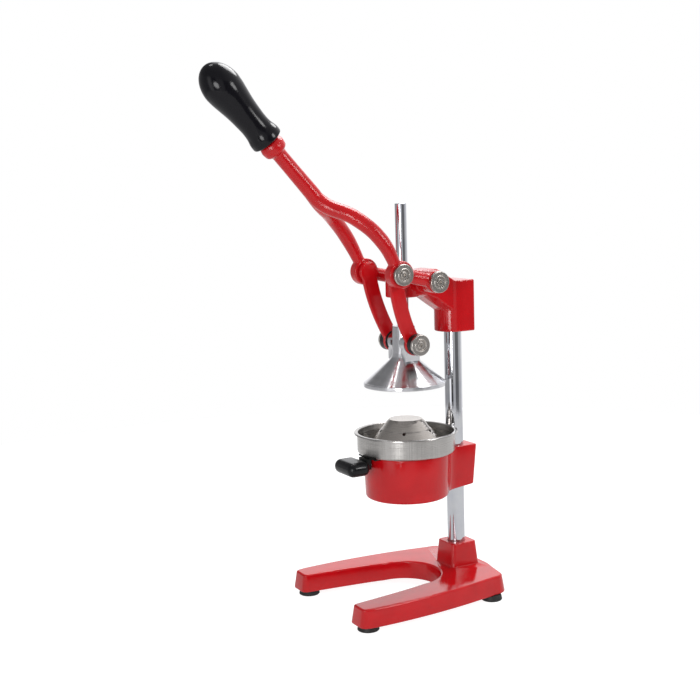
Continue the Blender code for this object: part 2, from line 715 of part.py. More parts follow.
# ---- cup holder and funnel -------------------------------------------------------------------
def holder_outline(ring_r, half, rear):
    """Ring and clamp seen from above, with a concave fillet where they meet; counter-clockwise."""
    ring_y = SLIDE_Y - COLUMN_Y
    reach = ring_r + CLAMP_FILLET
    fx = half + CLAMP_FILLET
    fy = ring_y + math.sqrt(reach ** 2 - fx ** 2)
    start = math.degrees(math.atan2(fy - ring_y, fx))
    corner = 0.0030
    half_ring = arc((0, ring_y), ring_r, -90, start, 18)
    half_ring += arc((fx, fy), CLAMP_FILLET, 180 + start, 180, 6)[1:]
    half_ring += arc((half - corner, rear - corner), corner, 0, 90, 3)
    points = half_ring + [(-x, y) for x, y in reversed(half_ring[1:])]
    return [(x, COLUMN_Y + y) for x, y in points]


def holder_ring(ring_r, half, rear, z_ring, z_rear):
    """One level of the holder; the clamp's underside climbs towards the rear."""
    ring = []
    for x, y in holder_outline(ring_r, half, rear):
        climb = max(0.0, min(1.0, (y - COLUMN_Y + 0.020) / 0.040))
        ring.append((x, y, z_ring + (z_rear - z_ring) * climb))
    return ring


def cup_holder():
    edge, low_edge = 0.0012, 0.0030
    foot_rear = 0.0040                                   # rise of the clamp's underside at the rear
    holder = lofted("cup_holder", [
        holder_ring(HOLDER_R_BOTTOM - low_edge, CLAMP_HALF - 0.0030, CLAMP_REAR - 0.0052,
                    HOLDER_BOTTOM, HOLDER_BOTTOM + foot_rear),
        holder_ring(HOLDER_R_BOTTOM - low_edge * 0.3, CLAMP_HALF - 0.0021, CLAMP_REAR - 0.0042,
                    HOLDER_BOTTOM + low_edge * 0.3, HOLDER_BOTTOM + foot_rear + 0.0008),
        holder_ring(HOLDER_R_BOTTOM, CLAMP_HALF - 0.0019, CLAMP_REAR - 0.0038,
                    HOLDER_BOTTOM + low_edge, HOLDER_BOTTOM + foot_rear + 0.0025),
        holder_ring(HOLDER_R_TOP, CLAMP_HALF, CLAMP_REAR, HOLDER_TOP - edge, HOLDER_TOP - edge),
        holder_ring(HOLDER_R_TOP - edge, CLAMP_HALF - edge, CLAMP_REAR - edge, HOLDER_TOP, HOLDER_TOP),
    ], red_enamel("holder"))
    bowl = turned("holder_bore", [
        (0.0, HOLDER_TOP + 0.010), (HOLDER_BORE, HOLDER_TOP + 0.010), (HOLDER_BORE, LEDGE_Z),
        (LEDGE_R, LEDGE_Z - 0.0002), (LEDGE_R, HOLDER_BOTTOM - 0.010), (0.0, HOLDER_BOTTOM - 0.010),
    ], steps=48, helper=True)
    bowl.location = (0, SLIDE_Y, 0)
    column_hole = cylinder("holder_column_hole", COLUMN_R + GAP, 0.120, (0, COLUMN_Y, 0.155), helper=True)
    screw_hole = cylinder("holder_screw_hole", 0.0032, 0.024, (0, COLUMN_Y + 0.0200, 0.1580), "Y",
                          helper=True, sides=16)
    front = SLIDE_Y - HOLDER_R_TOP
    notch = box("bracket_notch", (-BRACKET_HALF - 0.0008, front - 0.010, BRACKET_LOW - GAP),
                (BRACKET_HALF + 0.0008, SLIDE_Y - 0.030, HOLDER_TOP + 0.010), helper=True)
    cut(holder, bowl, column_hole, screw_hole, notch)


def funnel():
    """Sheet-metal funnel that hangs by its flange on the holder's ledge."""
    flange, seat = HOLDER_BORE - 0.0008, LEDGE_Z + GAP
    mouth, spout_r, spout_z, tip = LEDGE_R - 0.0010, 0.0100, 0.1340, 0.1240
    profile = [
        (flange, seat + SHEET), (flange, seat), (mouth, seat), (mouth, seat - 0.0030),
        (spout_r + 0.0008, spout_z), (spout_r, tip), (spout_r - SHEET, tip),
        (spout_r - SHEET + 0.0005, spout_z + 0.0010), (mouth - SHEET, seat - 0.0015),
        (mouth - SHEET, seat + SHEET),
    ]
    piece = turned("juice_funnel", profile, stainless("funnel"), 28, closed=True)
    piece.location = (0, SLIDE_Y, 0)


# ---- strainer --------------------------------------------------------------------------------
def strainer_cup():
    rim, wall = CUP_RIM_Z, CUP_R
    inner = wall - SHEET
    floor = CUP_BOTTOM + SHEET
    low = COLLAR_BOTTOM
    profile = [
        (inner, rim), (CUP_RIM_R - 0.0006, rim), (CUP_RIM_R, rim - 0.0008), (CUP_RIM_R - 0.0006, rim - 0.0024),
        (wall, rim - 0.0024), (wall, CUP_BOTTOM + 0.0022), (wall - 0.0022, CUP_BOTTOM),
        (COLLAR_R, CUP_BOTTOM), (COLLAR_R, low), (0.0380, low), (0.0380, low + SHEET),
        (COLLAR_R - SHEET, low + SHEET), (COLLAR_R - SHEET, floor), (inner - 0.0018, floor),
        (inner, floor + 0.0018),
    ]
    cup = turned("strainer_cup", profile, stainless("cup"), 36, closed=True)
    cup.location = (0, SLIDE_Y, 0)
    scallop = cylinder("column_scallop", COLUMN_R + 2 * GAP, 0.020, (0, COLUMN_Y, CUP_RIM_Z), helper=True)
    cut(cup, scallop)


def reamer():
    """Stepped dome with drain holes, standing by its flange on the cup's floor."""
    top, seat = REAMER_TOP, COLLAR_BOTTOM + SHEET + GAP
    outer = [(0.0, top), (0.0178, top), (0.0208, top - 0.0008), (0.0226, top - 0.0028),
             (0.0288, top - 0.0112), (0.0304, top - 0.0128), (0.0394, top - 0.0240), (0.0430, seat + 0.0040),
             (0.0440, seat + 0.0010), (0.0448, seat + 0.0010)]
    thickness = 0.0010
    inner = [(0.0448, seat), (0.0430, seat), (0.0418, seat + 0.0035), (0.0383, top - 0.0246),
             (0.0294, top - 0.0134), (0.0278, top - 0.0118), (0.0216, top - 0.0032),
             (0.0203, top - 0.0018), (0.0175, top - thickness), (0.0, top - thickness)]
    dome = turned("reamer", outer + inner, stainless("reamer"), 32)
    dome.location = (0, SLIDE_Y, 0)
    for count, ring_r, z, turn, size in ((5, 0.0314, top - 0.0138, -35.5, 0.0020),
                                         (6, 0.0414, top - 0.0330, -22.5, 0.0020)):
        for k in range(count):
            a = math.radians(turn + 360 * k / count)
            hole = cylinder("drain_hole", size, 0.014,
                            (ring_r * math.cos(a), SLIDE_Y + ring_r * math.sin(a), z), helper=True, sides=8)
            hole.rotation_euler = (0, math.radians(55), a)
            cut(dome, hole)


def cup_handle():
    """Black knob, riveted to the web of a bracket whose plate lies in the holder's notch under the cup."""
    knob = box("cup_handle", (-KNOB_HALF, KNOB_REAR_Y - KNOB_LENGTH, KNOB_LOW),
               (KNOB_HALF, KNOB_REAR_Y, KNOB_HIGH), black_plastic("cup_handle"))
    round_edges(knob, 0.0082, 4)
    smooth(knob)
    bracket = box("handle_bracket", (-BRACKET_HALF, BRACKET_FRONT_Y, BRACKET_LOW),
                  (BRACKET_HALF, SLIDE_Y - COLLAR_R - 0.0008, BRACKET_HIGH), black_nylon("bracket"))
    web = box("handle_web", (-WEB_HALF, KNOB_REAR_Y + GAP, WEB_LOW),
              (WEB_HALF, WEB_REAR_Y, (BRACKET_LOW + BRACKET_HIGH) / 2), helper=True)
    join(bracket, web)
    head_y = WEB_REAR_Y + GAP
    for label, side in (("left", -1), ("right", 1)):
        for item in (knob, bracket):
            hole = cylinder("rivet_hole", 0.0018, 0.026, (side * RIVET_X, KNOB_REAR_Y, RIVET_Z), "Y",
                            helper=True, sides=12)
            cut(item, hole)
        rivet = turned(f"handle_rivet_{label}", [
            (0.0, 0.0012), (0.0017, 0.0010), (0.0030, 0.0), (0.0015, 0.0), (0.0015, -0.0175), (0.0, -0.0175),
        ], zinc_steel("rivet"), 12)
        rivet.rotation_euler = (-math.pi / 2, 0, 0)
        rivet.location = (side * RIVET_X, head_y, RIVET_Z)


def build():
    clear_scene()
    base_casting()
    feet()
    column()
    head_casting()
    rod_bush()
    grub_screw("head_set_screw", 0.3575)
    pivot_bolts()
    lever_casting()
    grip()
    links()
    press()
    cup_holder()
    grub_screw("holder_set_screw", 0.1580)
    funnel()
    strainer_cup()
    reamer()
    cup_handle()


build()
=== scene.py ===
"""Looks of the hand citrus press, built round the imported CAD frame.

Metres, +Z up, the open end of the base towards -Y. Every fine piece stands for the CAD node of the same
name and rides on that node's body. Meshes hold their place, so object coordinates are frame coordinates.
"""
import json
import math

import bmesh
import bpy
from mathutils import Matrix, Vector


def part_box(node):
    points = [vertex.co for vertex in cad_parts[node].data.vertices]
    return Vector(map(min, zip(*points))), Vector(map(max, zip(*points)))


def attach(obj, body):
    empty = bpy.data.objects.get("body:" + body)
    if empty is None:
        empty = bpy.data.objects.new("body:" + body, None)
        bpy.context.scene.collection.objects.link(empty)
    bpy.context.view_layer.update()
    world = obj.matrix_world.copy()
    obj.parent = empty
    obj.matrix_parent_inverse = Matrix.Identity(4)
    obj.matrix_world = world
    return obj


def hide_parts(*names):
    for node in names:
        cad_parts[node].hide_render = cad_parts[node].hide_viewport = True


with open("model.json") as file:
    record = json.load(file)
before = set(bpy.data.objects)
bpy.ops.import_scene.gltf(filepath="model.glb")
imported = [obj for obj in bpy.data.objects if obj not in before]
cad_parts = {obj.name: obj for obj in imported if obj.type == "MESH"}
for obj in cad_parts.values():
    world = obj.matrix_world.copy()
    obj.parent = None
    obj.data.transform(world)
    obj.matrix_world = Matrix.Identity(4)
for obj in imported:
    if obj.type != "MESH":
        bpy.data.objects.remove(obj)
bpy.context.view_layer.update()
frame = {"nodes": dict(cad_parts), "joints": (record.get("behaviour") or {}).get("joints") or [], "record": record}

BODY_OF = {node: body for body, nodes in frame["record"]["behaviour"]["bodies"].items() for node in nodes}

# ---- places and sizes, from the frame ----
COLUMN_LOW, COLUMN_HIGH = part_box("column")
ROD_LOW, ROD_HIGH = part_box("press_rod")
CONE_LOW, CONE_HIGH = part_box("press_cone")
COLUMN_Y = (COLUMN_LOW.y + COLUMN_HIGH.y) / 2
SLIDE_Y = (ROD_LOW.y + ROD_HIGH.y) / 2
COLUMN_R = (COLUMN_HIGH.x - COLUMN_LOW.x) / 2
ROD_R = (ROD_HIGH.x - ROD_LOW.x) / 2
JOINTS = {joint["name"]: joint for joint in frame["joints"]}
FULCRUM = Vector(JOINTS["lever_fulcrum"]["pos_m"])
LINK_PIVOT = Vector(JOINTS["link_pivot"]["pos_m"])
CONE_PIVOT = Vector((0, SLIDE_Y, 0.3170))

GAP = 0.0003  # clearance between a bore and what sits in it
FOOT_H = 0.0073
BASE_TOP = 0.0292
BASE_FRONT_Y = COLUMN_Y - 0.1860
BASE_REAR_Y = COLUMN_Y + 0.0310
BASE_DRAFT = 0.0035
POST_TOP = 0.0583
EYE_IN, EYE_OUT = 0.0341, 0.0482  # the lever's eyes, from the middle plane
EYE_MID = (EYE_IN + EYE_OUT) / 2
BOLT_R = 0.0129
BOLT_FACE = 0.0530
SIDES = (("left", -1), ("right", 1))
UP, RIGHT, BACK = (0, 0, 1), (1, 0, 0), (0, 1, 0)
PRESS_AXIS = (0, SLIDE_Y, 0)
COLUMN_AXIS = (0, COLUMN_Y, 0)
# The handle's rod runs from where the fork parts to its collar.
HANDLE_FOOT = Vector((0, COLUMN_Y - 0.1845, 0.4940))
HANDLE_COLLAR = Vector((0, COLUMN_Y - 0.2335, 0.5487))
HANDLE = (HANDLE_COLLAR - HANDLE_FOOT).normalized()


# ---- mesh helpers ----
def new_object(name, mesh):
    item = bpy.data.objects.new(name, mesh)
    bpy.context.scene.collection.objects.link(item)
    return item


def object_from(name, points, faces):
    """Object from points and faces, its faces turned outwards."""
    mesh = bpy.data.meshes.new(name)
    mesh.from_pydata([tuple(p) for p in points], [], faces)
    shell = bmesh.new()
    shell.from_mesh(mesh)
    bmesh.ops.recalc_face_normals(shell, faces=shell.faces)
    wide = [face for face in shell.faces if len(face.verts) > 4]
    bmesh.ops.triangulate(shell, faces=wide, ngon_method="EAR_CLIP")
    shell.to_mesh(mesh)
    shell.free()
    return new_object(name, mesh)


def shade(item, degrees=38):
    """Smooth shading, with edges over an angle kept sharp."""
    item.data.shade_smooth()
    item.data.set_sharp_from_angle(angle=math.radians(degrees))
    return item


def arc(centre, radius, start, end, count):
    """Arc from one angle to another, in degrees, as count + 1 points."""
    points = []
    for k in range(count + 1):
        a = math.radians(start + (end - start) * k / count)
        points.append((centre[0] + radius * math.cos(a), centre[1] + radius * math.sin(a)))
    return points


def quarter(parts):
    """Sine and cosine along a quarter turn, for rounded edges."""
    angles = [math.radians(90 * k / parts) for k in range(parts + 1)]
    return [(math.sin(a), math.cos(a)) for a in angles]


def filleted(corners, closed=False, step=11):
    """Polyline through (u, v, radius) corners, each rounded with its own radius."""
    points = []
    count = len(corners)
    for i, corner in enumerate(corners):
        here = Vector(corner[:2])
        radius = corner[2] if len(corner) > 2 else 0.0
        if radius == 0.0 or (not closed and i in (0, count - 1)):
            points.append(tuple(here))
            continue
        before, after = Vector(corners[i - 1][:2]), Vector(corners[(i + 1) % count][:2])
        u, v = (before - here), (after - here)
        room = 0.49 * min(u.length, v.length)
        u, v = u.normalized(), v.normalized()
        half = math.acos(max(-1.0, min(1.0, u.dot(v)))) / 2
        if half > math.radians(88.5):
            points.append(tuple(here))
            continue
        run = min(radius / math.tan(half), room)
        radius = run * math.tan(half)
        centre = here + (u + v).normalized() * (radius / math.sin(half))
        start = here + u * run - centre
        turn = math.pi - 2 * half
        sign = 1 if start.x * (here + v * run - centre).y - start.y * (here + v * run - centre).x > 0 else -1
        parts = max(2, math.ceil(math.degrees(turn) / step))
        for k in range(parts + 1):
            a = sign * turn * k / parts
            c, s = math.cos(a), math.sin(a)
            points.append((centre.x + start.x * c - start.y * s, centre.y + start.x * s + start.y * c))
    return points


def frame_along(axis):
    """Two unit vectors across an axis."""
    axis = axis.normalized()
    side = Vector(RIGHT if abs(axis.x) < 0.9 else UP)
    first = (side - axis * side.dot(axis)).normalized()
    return first, axis.cross(first)


def lathe(name, corners, origin, axis=UP, steps=96, closed=False):
    """Solid turned about an axis, from (radius, distance, fillet) corners."""
    profile = filleted(corners, closed)
    origin, axis = Vector(origin), Vector(axis).normalized()
    first, second = frame_along(axis)
    points, rings = [], []
    for r, h in profile:
        if r < 1e-7:
            rings.append([len(points)])
            points.append(origin + axis * h)
            continue
        ring = []
        for k in range(steps):
            a = 2 * math.pi * k / steps
            ring.append(len(points))
            points.append(origin + axis * h + (first * math.cos(a) + second * math.sin(a)) * r)
        rings.append(ring)
    faces = []
    pairs = list(zip(rings, rings[1:])) + ([(rings[-1], rings[0])] if closed else [])
    for low, high in pairs:
        for k in range(steps):
            m = (k + 1) % steps
            if len(low) == 1 and len(high) == 1:
                continue
            if len(low) == 1:
                faces.append((low[0], high[k], high[m]))
            elif len(high) == 1:
                faces.append((low[k], low[m], high[0]))
            else:
                faces.append((low[k], low[m], high[m], high[k]))
    return shade(object_from(name, points, faces))


def disc(name, radius, near, far, soft, centre, axis, steps=96, inner=0):
    """Disc or ring with rounded outer edges, between two distances along its axis from its centre."""
    corners = [(inner, far), (radius, far, soft), (radius, near, soft), (inner, near)]
    return lathe(name, corners, centre, axis, steps, closed=inner > 0)


def loft(name, rings):
    """Closed solid through rings of equal point count."""
    count = len(rings[0])
    last = (len(rings) - 1) * count
    faces = [tuple(range(count)), tuple(range(last, last + count))]
    for k in range(len(rings) - 1):
        for i in range(count):
            j = (i + 1) % count
            faces.append((k * count + i, k * count + j, (k + 1) * count + j, (k + 1) * count + i))
    return shade(object_from(name, [p for ring in rings for p in ring], faces))


def block(name, low, high, radius, segments=4):
    """Box with all its edges rounded."""
    mesh = bpy.data.meshes.new(name)
    shell = bmesh.new()
    bmesh.ops.create_cube(shell, size=1.0)
    size = [b - a for a, b in zip(low, high)]
    bmesh.ops.scale(shell, vec=size, verts=shell.verts)
    bmesh.ops.translate(shell, vec=[(a + b) / 2 for a, b in zip(low, high)], verts=shell.verts)
    if radius:
        bmesh.ops.bevel(shell, geom=shell.edges[:], offset=radius, segments=segments, profile=0.5,
                        affect="EDGES", clamp_overlap=True)
    shell.to_mesh(mesh)
    shell.free()
    return shade(new_object(name, mesh))


def evaluated_mesh(item):
    """The mesh that an object's curve or modifiers make."""
    bpy.context.view_layer.update()
    return bpy.data.meshes.new_from_object(item.evaluated_get(bpy.context.evaluated_depsgraph_get()))


def apply_modifiers(item):
    """Replace the object's mesh by what its modifiers make of it."""
    old = item.data
    made = evaluated_mesh(item)
    item.modifiers.clear()
    item.data = made
    bpy.data.meshes.remove(old)


def remove(item):
    bpy.data.objects.remove(item, do_unlink=True)


def merged(name, items):
    """One object that holds the meshes of several."""
    shell = bmesh.new()
    for item in items:
        item.data.transform(item.matrix_world)
        shell.from_mesh(item.data)
    mesh = bpy.data.meshes.new(name)
    shell.to_mesh(mesh)
    shell.free()
    for item in items:
        remove(item)
    return new_object(name, mesh)


def fused(name, items, voxel, relax):
    """Union of several solids as one soft-edged casting."""
    casting = merged(name, items)
    remesh = casting.modifiers.new("skin", "REMESH")
    remesh.mode = "VOXEL"
    remesh.voxel_size = voxel
    soften = casting.modifiers.new("soften", "SMOOTH")
    soften.factor = 0.5
    soften.iterations = relax
    apply_modifiers(casting)
    return shade(casting, 80)


def combined(item, other, operation):
    """Boolean of two closed solids; the second one is used up."""
    step = item.modifiers.new("combine", "BOOLEAN")
    step.operation = operation
    step.solver = "EXACT"
    step.object = other
    apply_modifiers(item)
    remove(other)
    return shade(item)


def rod_cutter(name, radius, centre, axis, length, sides=48):
    """Cylinder centred on a point, for cutting holes."""
    axis = Vector(axis).normalized()
    first, second = frame_along(axis)
    rings = []
    for end in (-0.5, 0.5):
        ring = []
        for k in range(sides):
            a = 2 * math.pi * k / sides
            ring.append(Vector(centre) + axis * (end * length)
                        + (first * math.cos(a) + second * math.sin(a)) * radius)
        rings.append(ring)
    return loft(name, rings)


def cubic(points, t):
    """Point of a cubic curve with four control points."""
    weights = ((1 - t) ** 3, 3 * t * (1 - t) ** 2, 3 * t * t * (1 - t), t ** 3)
    return sum((w * p for w, p in zip(weights, points)), Vector((0.0,) * len(points[0])))


def through(knots, count):
    """Smooth curve through (x, y) knots with rising x, as count + 1 points."""
    slopes = []
    for i in range(len(knots)):
        a, b = knots[max(i - 1, 0)], knots[min(i + 1, len(knots) - 1)]
        slopes.append((b[1] - a[1]) / (b[0] - a[0]))
    points = []
    for k in range(count + 1):
        x = knots[0][0] + (knots[-1][0] - knots[0][0]) * k / count
        i = max(j for j in range(len(knots) - 1) if knots[j][0] <= x + 1e-12)
        (x0, y0), (x1, y1) = knots[i], knots[i + 1]
        t, w = (x - x0) / (x1 - x0), x1 - x0
        h00, h10 = (1 + 2 * t) * (1 - t) ** 2, t * (1 - t) ** 2
        h01, h11 = t * t * (3 - 2 * t), t * t * (t - 1)
        points.append((x, h00 * y0 + h10 * w * slopes[i] + h01 * y1 + h11 * w * slopes[i + 1]))
    return points


def grown(outline, distance):
    """Outline moved outwards along its own normals; it runs counter-clockwise."""
    moved = []
    count = len(outline)
    for i, (x, y) in enumerate(outline):
        before, after = outline[i - 1], outline[(i + 1) % count]
        along = Vector((after[0] - before[0], after[1] - before[1])).normalized()
        moved.append((x + along.y * distance, y - along.x * distance))
    return moved


def level(outline, z):
    """Outline as points at one height."""
    return [(x, y, z) for x, y in outline]


# ---- material helpers ----
class Nodes:
    """Small builder for a node tree."""

    def __init__(self, tree):
        self.tree = tree

    def link(self, source, target):
        self.tree.links.new(source, target)

    def feed(self, socket, value):
        if isinstance(value, bpy.types.NodeSocket):
            self.link(value, socket)
        else:
            socket.default_value = value

    def node(self, kind, inputs=None, **settings):
        """New node with its settings; inputs gives its sockets their values or sources, by name."""
        made = self.tree.nodes.new("ShaderNode" + kind)
        for key, value in settings.items():
            setattr(made, key, value)
        for key, value in (inputs or {}).items():
            self.feed(made.inputs[key], value)
        return made

    def computed(self, kind, operation, values):
        made = self.node(kind, operation=operation)
        for socket, value in zip(made.inputs, values):
            self.feed(socket, value)
        return made

    def math(self, operation, *values):
        return self.computed("Math", operation, values).outputs[0]

    def vector(self, operation, *values):
        made = self.computed("VectorMath", operation, values)
        return made.outputs["Value" if operation in ("LENGTH", "DOT_PRODUCT") else "Vector"]

    def ramp(self, value, low, high, out_low=0.0, out_high=1.0, **settings):
        inputs = {"Value": value, "From Min": low, "From Max": high, "To Min": out_low, "To Max": out_high}
        return self.node("MapRange", inputs, **settings).outputs["Result"]

    def blend(self, factor, first, second):
        """Mix of two colours, each a tuple or a socket."""
        first, second = ((*end, 1) if isinstance(end, tuple) else end for end in (first, second))
        inputs = {"Factor": factor, "A": first, "B": second}
        return self.node("Mix", inputs, data_type="RGBA").outputs["Result"]


class Finish(Nodes):
    """One material: patterns in the frame's coordinates, fed to its shader."""

    def __init__(self, name):
        self.material = bpy.data.materials.new(name)
        self.material.use_nodes = True
        super().__init__(self.material.node_tree)
        self.shader = self.tree.nodes["Principled BSDF"]
        self.position = self.node("TexCoord").outputs["Object"]

    def noise(self, scale, detail, rough=0.5, squash=None):
        source = self.vector("MULTIPLY", self.position, squash) if squash else self.position
        inputs = {"Scale": scale, "Detail": detail, "Roughness": rough, "Vector": source}
        return self.node("TexNoise", inputs).outputs["Fac"]

    def cells(self, scale):
        return self.node("TexVoronoi", {"Scale": scale, "Vector": self.position}).outputs["Distance"]

    def bump(self, height, distance, strength=1.0, normal=None):
        inputs = {"Distance": distance, "Strength": strength, "Height": height}
        if normal:
            inputs["Normal"] = normal
        return self.node("Bump", inputs).outputs["Normal"]

    def offset(self, centre):
        return self.vector("SUBTRACT", self.position, tuple(centre))

    def radius(self, centre, axis):
        """Distance from an axis."""
        return self.vector("LENGTH", self.vector("CROSS_PRODUCT", self.offset(centre), tuple(axis)))

    def along(self, centre, axis):
        """Distance along an axis."""
        return self.vector("DOT_PRODUCT", self.offset(centre), tuple(axis))

    def lines(self, value, scale, detail):
        """Noise in one dimension: fine lines wherever the value is constant."""
        inputs = {"Scale": scale, "Detail": detail, "W": value}
        return self.node("TexNoise", inputs, noise_dimensions="1D").outputs["Fac"]

    def set(self, **values):
        """Shader inputs by name, with _ for a space; gives the finished material."""
        for key, value in values.items():
            self.feed(self.shader.inputs[key.replace("_", " ")], value)
        return self.material


def toned(colour, factor):
    """Darker or lighter shade of a colour."""
    return tuple(c * factor for c in colour)


RED = (0.45, 0.0038, 0.0068)
WORN_BLACK = (0.008, 0.008, 0.008)
NICKEL = (0.43, 0.40, 0.37)
BRIGHT_NICKEL = (0.50, 0.47, 0.44)
ZINC = (0.52, 0.53, 0.55)


def enamel(name, pebble, depth, gloss=0.10, wave=0.35):
    """Glossy red enamel on a casting: soft unevenness, fine orange peel, dust of darker specks."""
    n = Finish(name)
    broad = n.noise(38.0, 2.0)
    fine = n.noise(pebble, 2.0, rough=0.6)
    tint = n.blend(n.ramp(broad, 0.35, 0.65), toned(RED, 0.93), toned(RED, 1.05))
    specks = n.ramp(n.cells(420.0), 0.02, 0.10)
    tint = n.blend(specks, toned(RED, 0.72), tint)
    roughness = n.ramp(n.noise(160.0, 3.0), 0.3, 0.7, gloss * 0.8, gloss * 1.6)
    normal = n.bump(broad, 0.0004, wave)
    normal = n.bump(fine, depth, 1.0, normal)
    return n.set(Base_Color=tint, Roughness=roughness, Normal=normal, IOR=1.42)


def chrome(name, centre):
    """Bright chrome on an upright bar: faint long scratches and grinding rings, a breath of haze."""
    n = Finish(name)
    streaks = n.noise(900.0, 3.0, squash=(1.0, 1.0, 0.02))
    rings = n.lines(n.along(centre, UP), 2500.0, 2.0)
    haze = n.noise(55.0, 4.0)
    roughness = n.ramp(haze, 0.3, 0.75, 0.035, 0.10)
    tint = n.blend(n.ramp(haze, 0.3, 0.7), (0.50, 0.51, 0.55), (0.57, 0.575, 0.59))
    normal = n.bump(streaks, 0.00002, 0.5)
    normal = n.bump(rings, 0.000006, 0.5, normal)
    return n.set(Base_Color=tint, Metallic=1.0, Roughness=roughness, Normal=normal)


def turned_metal(name, colour, roughness, centre, axis=UP, depth=0.00002, scale=1800.0, streak=0.0):
    """Machined or spun metal: concentric tool lines, slight tarnish, a few scuffs.

    By the amount of streak, reflections are drawn out across the tool lines, with faint darker
    radial streaks painted along them as painted dark reflection bands. The axis is then z.
    """
    n = Finish(name)
    path = n.math("ADD", n.radius(centre, axis), n.along(centre, axis))
    fine = n.lines(path, scale, 3.0)
    broad = n.lines(path, scale * 0.12, 2.0)
    cloud = n.noise(70.0, 4.0)
    scuff = n.noise(420.0, 4.0, squash=(1.0, 0.25, 0.25))
    tint = n.blend(n.ramp(cloud, 0.3, 0.7), toned(colour, 0.90), toned(colour, 1.06))
    tint = n.blend(n.ramp(scuff, 0.62, 0.75, 0.0, 0.35), tint, toned(colour, 0.7))
    rough = n.math("ADD", n.ramp(fine, 0.3, 0.7, roughness * 0.75, roughness * 1.15),
                   n.ramp(broad, 0.3, 0.7, 0.0, roughness * 0.25))
    normal = n.bump(fine, depth, 0.6)
    normal = n.bump(broad, depth * 2.5, 0.4, normal)
    if streak:
        offset = n.node("SeparateXYZ", {"Vector": n.offset(centre)})
        turn = n.math("ARCTAN2", offset.outputs["Y"], offset.outputs["X"])
        # darker radial streaks in the colour: painted dark reflection bands, lying along the drawn-out reflections
        tint = n.blend(n.ramp(n.lines(turn, 46.0, 3.0), 0.35, 0.65), toned(colour, 0.78), tint)
        around_axis = n.node("Tangent", direction_type="RADIAL", axis="Z").outputs[0]
        n.set(Tangent=around_axis, Anisotropic=streak, Anisotropic_Rotation=0.25)
    return n.set(Base_Color=tint, Metallic=1.0, Roughness=rough, Normal=normal)


def plastic(name, colour, gloss, grain, depth):
    """Moulded black plastic: faint sink waves, fine texture, fingerprints in the gloss."""
    n = Finish(name)
    waves = n.noise(45.0, 2.0)
    texture = n.noise(grain, 3.0)
    smear = n.noise(120.0, 4.0, squash=(1.0, 1.0, 0.4))
    rough = n.ramp(smear, 0.3, 0.75, gloss * 0.8, gloss * 1.7)
    tint = n.blend(n.ramp(texture, 0.3, 0.7), colour, tuple(c * 1.6 + 0.0008 for c in colour))
    normal = n.bump(waves, 0.0003, 0.25)
    normal = n.bump(texture, depth, 0.6, normal)
    return n.set(Base_Color=tint, Roughness=rough, Normal=normal, IOR=1.31)


def rubber(name):
    """Black rubber with a little dust."""
    n = Finish(name)
    texture = n.noise(1400.0, 4.0)
    dust = n.noise(140.0, 5.0)
    tint = n.blend(n.ramp(dust, 0.45, 0.8), (0.003, 0.003, 0.003), (0.016, 0.015, 0.014))
    normal = n.bump(texture, 0.00008, 0.8)
    return n.set(Base_Color=tint, Roughness=n.ramp(dust, 0.3, 0.7, 0.55, 0.8), Normal=normal)


# ---- putting pieces in ----
def dress(item, material):
    """Give an object its only material."""
    item.data.materials.clear()
    item.data.materials.append(material)


def install(piece, node, material):
    """Give a fine piece its material and let it stand for a CAD node."""
    piece.name = "fine_" + node
    dress(piece, material)
    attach(piece, BODY_OF[node])
    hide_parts(node)


# ---- base and feet ----
def base_outline():
    """Horseshoe seen from above, counter-clockwise: bowed sides, a gap with a round end."""
    gap_half, gap_depth, gap_centre, mouth_half = 0.0470, 0.0480, COLUMN_Y - 0.0810, 0.0615
    toe_in, toe_out, front_half, bow_run = 0.0045, 0.0062, 0.0875, 0.095
    half = []
    for k in range(37):  # the gap's round end
        a = math.radians(90 - 90 * k / 36)
        half.append((gap_half * math.cos(a), gap_centre + gap_depth * math.sin(a)))
    for k in range(1, 19):  # its side, which opens towards the mouth
        y = gap_centre - 0.100 * k / 18
        half.append((gap_half + (mouth_half - gap_half) * ((gap_centre - y) / 0.105) ** 0.8, y))
    half += arc((mouth_half + 0.0040, BASE_FRONT_Y + toe_in), toe_in, 187, 268, 8)
    half += arc((front_half - toe_out, BASE_FRONT_Y + toe_out), toe_out, 270, 352, 10)
    front, rear = BASE_FRONT_Y + 0.010, COLUMN_Y + 0.002
    for k in range(1, 41):  # the bowed outer side
        y = front + (rear - BASE_FRONT_Y - 0.010) * k / 40
        t = (y - COLUMN_Y + bow_run) / bow_run
        half.append((0.0884 - 0.0058 * t - 0.0065 * t * t, y))
    half += arc((0.0612, COLUMN_Y + 0.0080), 0.0140, 0, 72, 14)[1:]
    tail = [(0.0, BASE_REAR_Y), (0.024, BASE_REAR_Y - 0.0008), (0.045, COLUMN_Y + 0.0255), half[-1]]
    half += through(tail, 16)[-2::-1]
    return half + [(-x, y) for x, y in reversed(half[1:-1])]


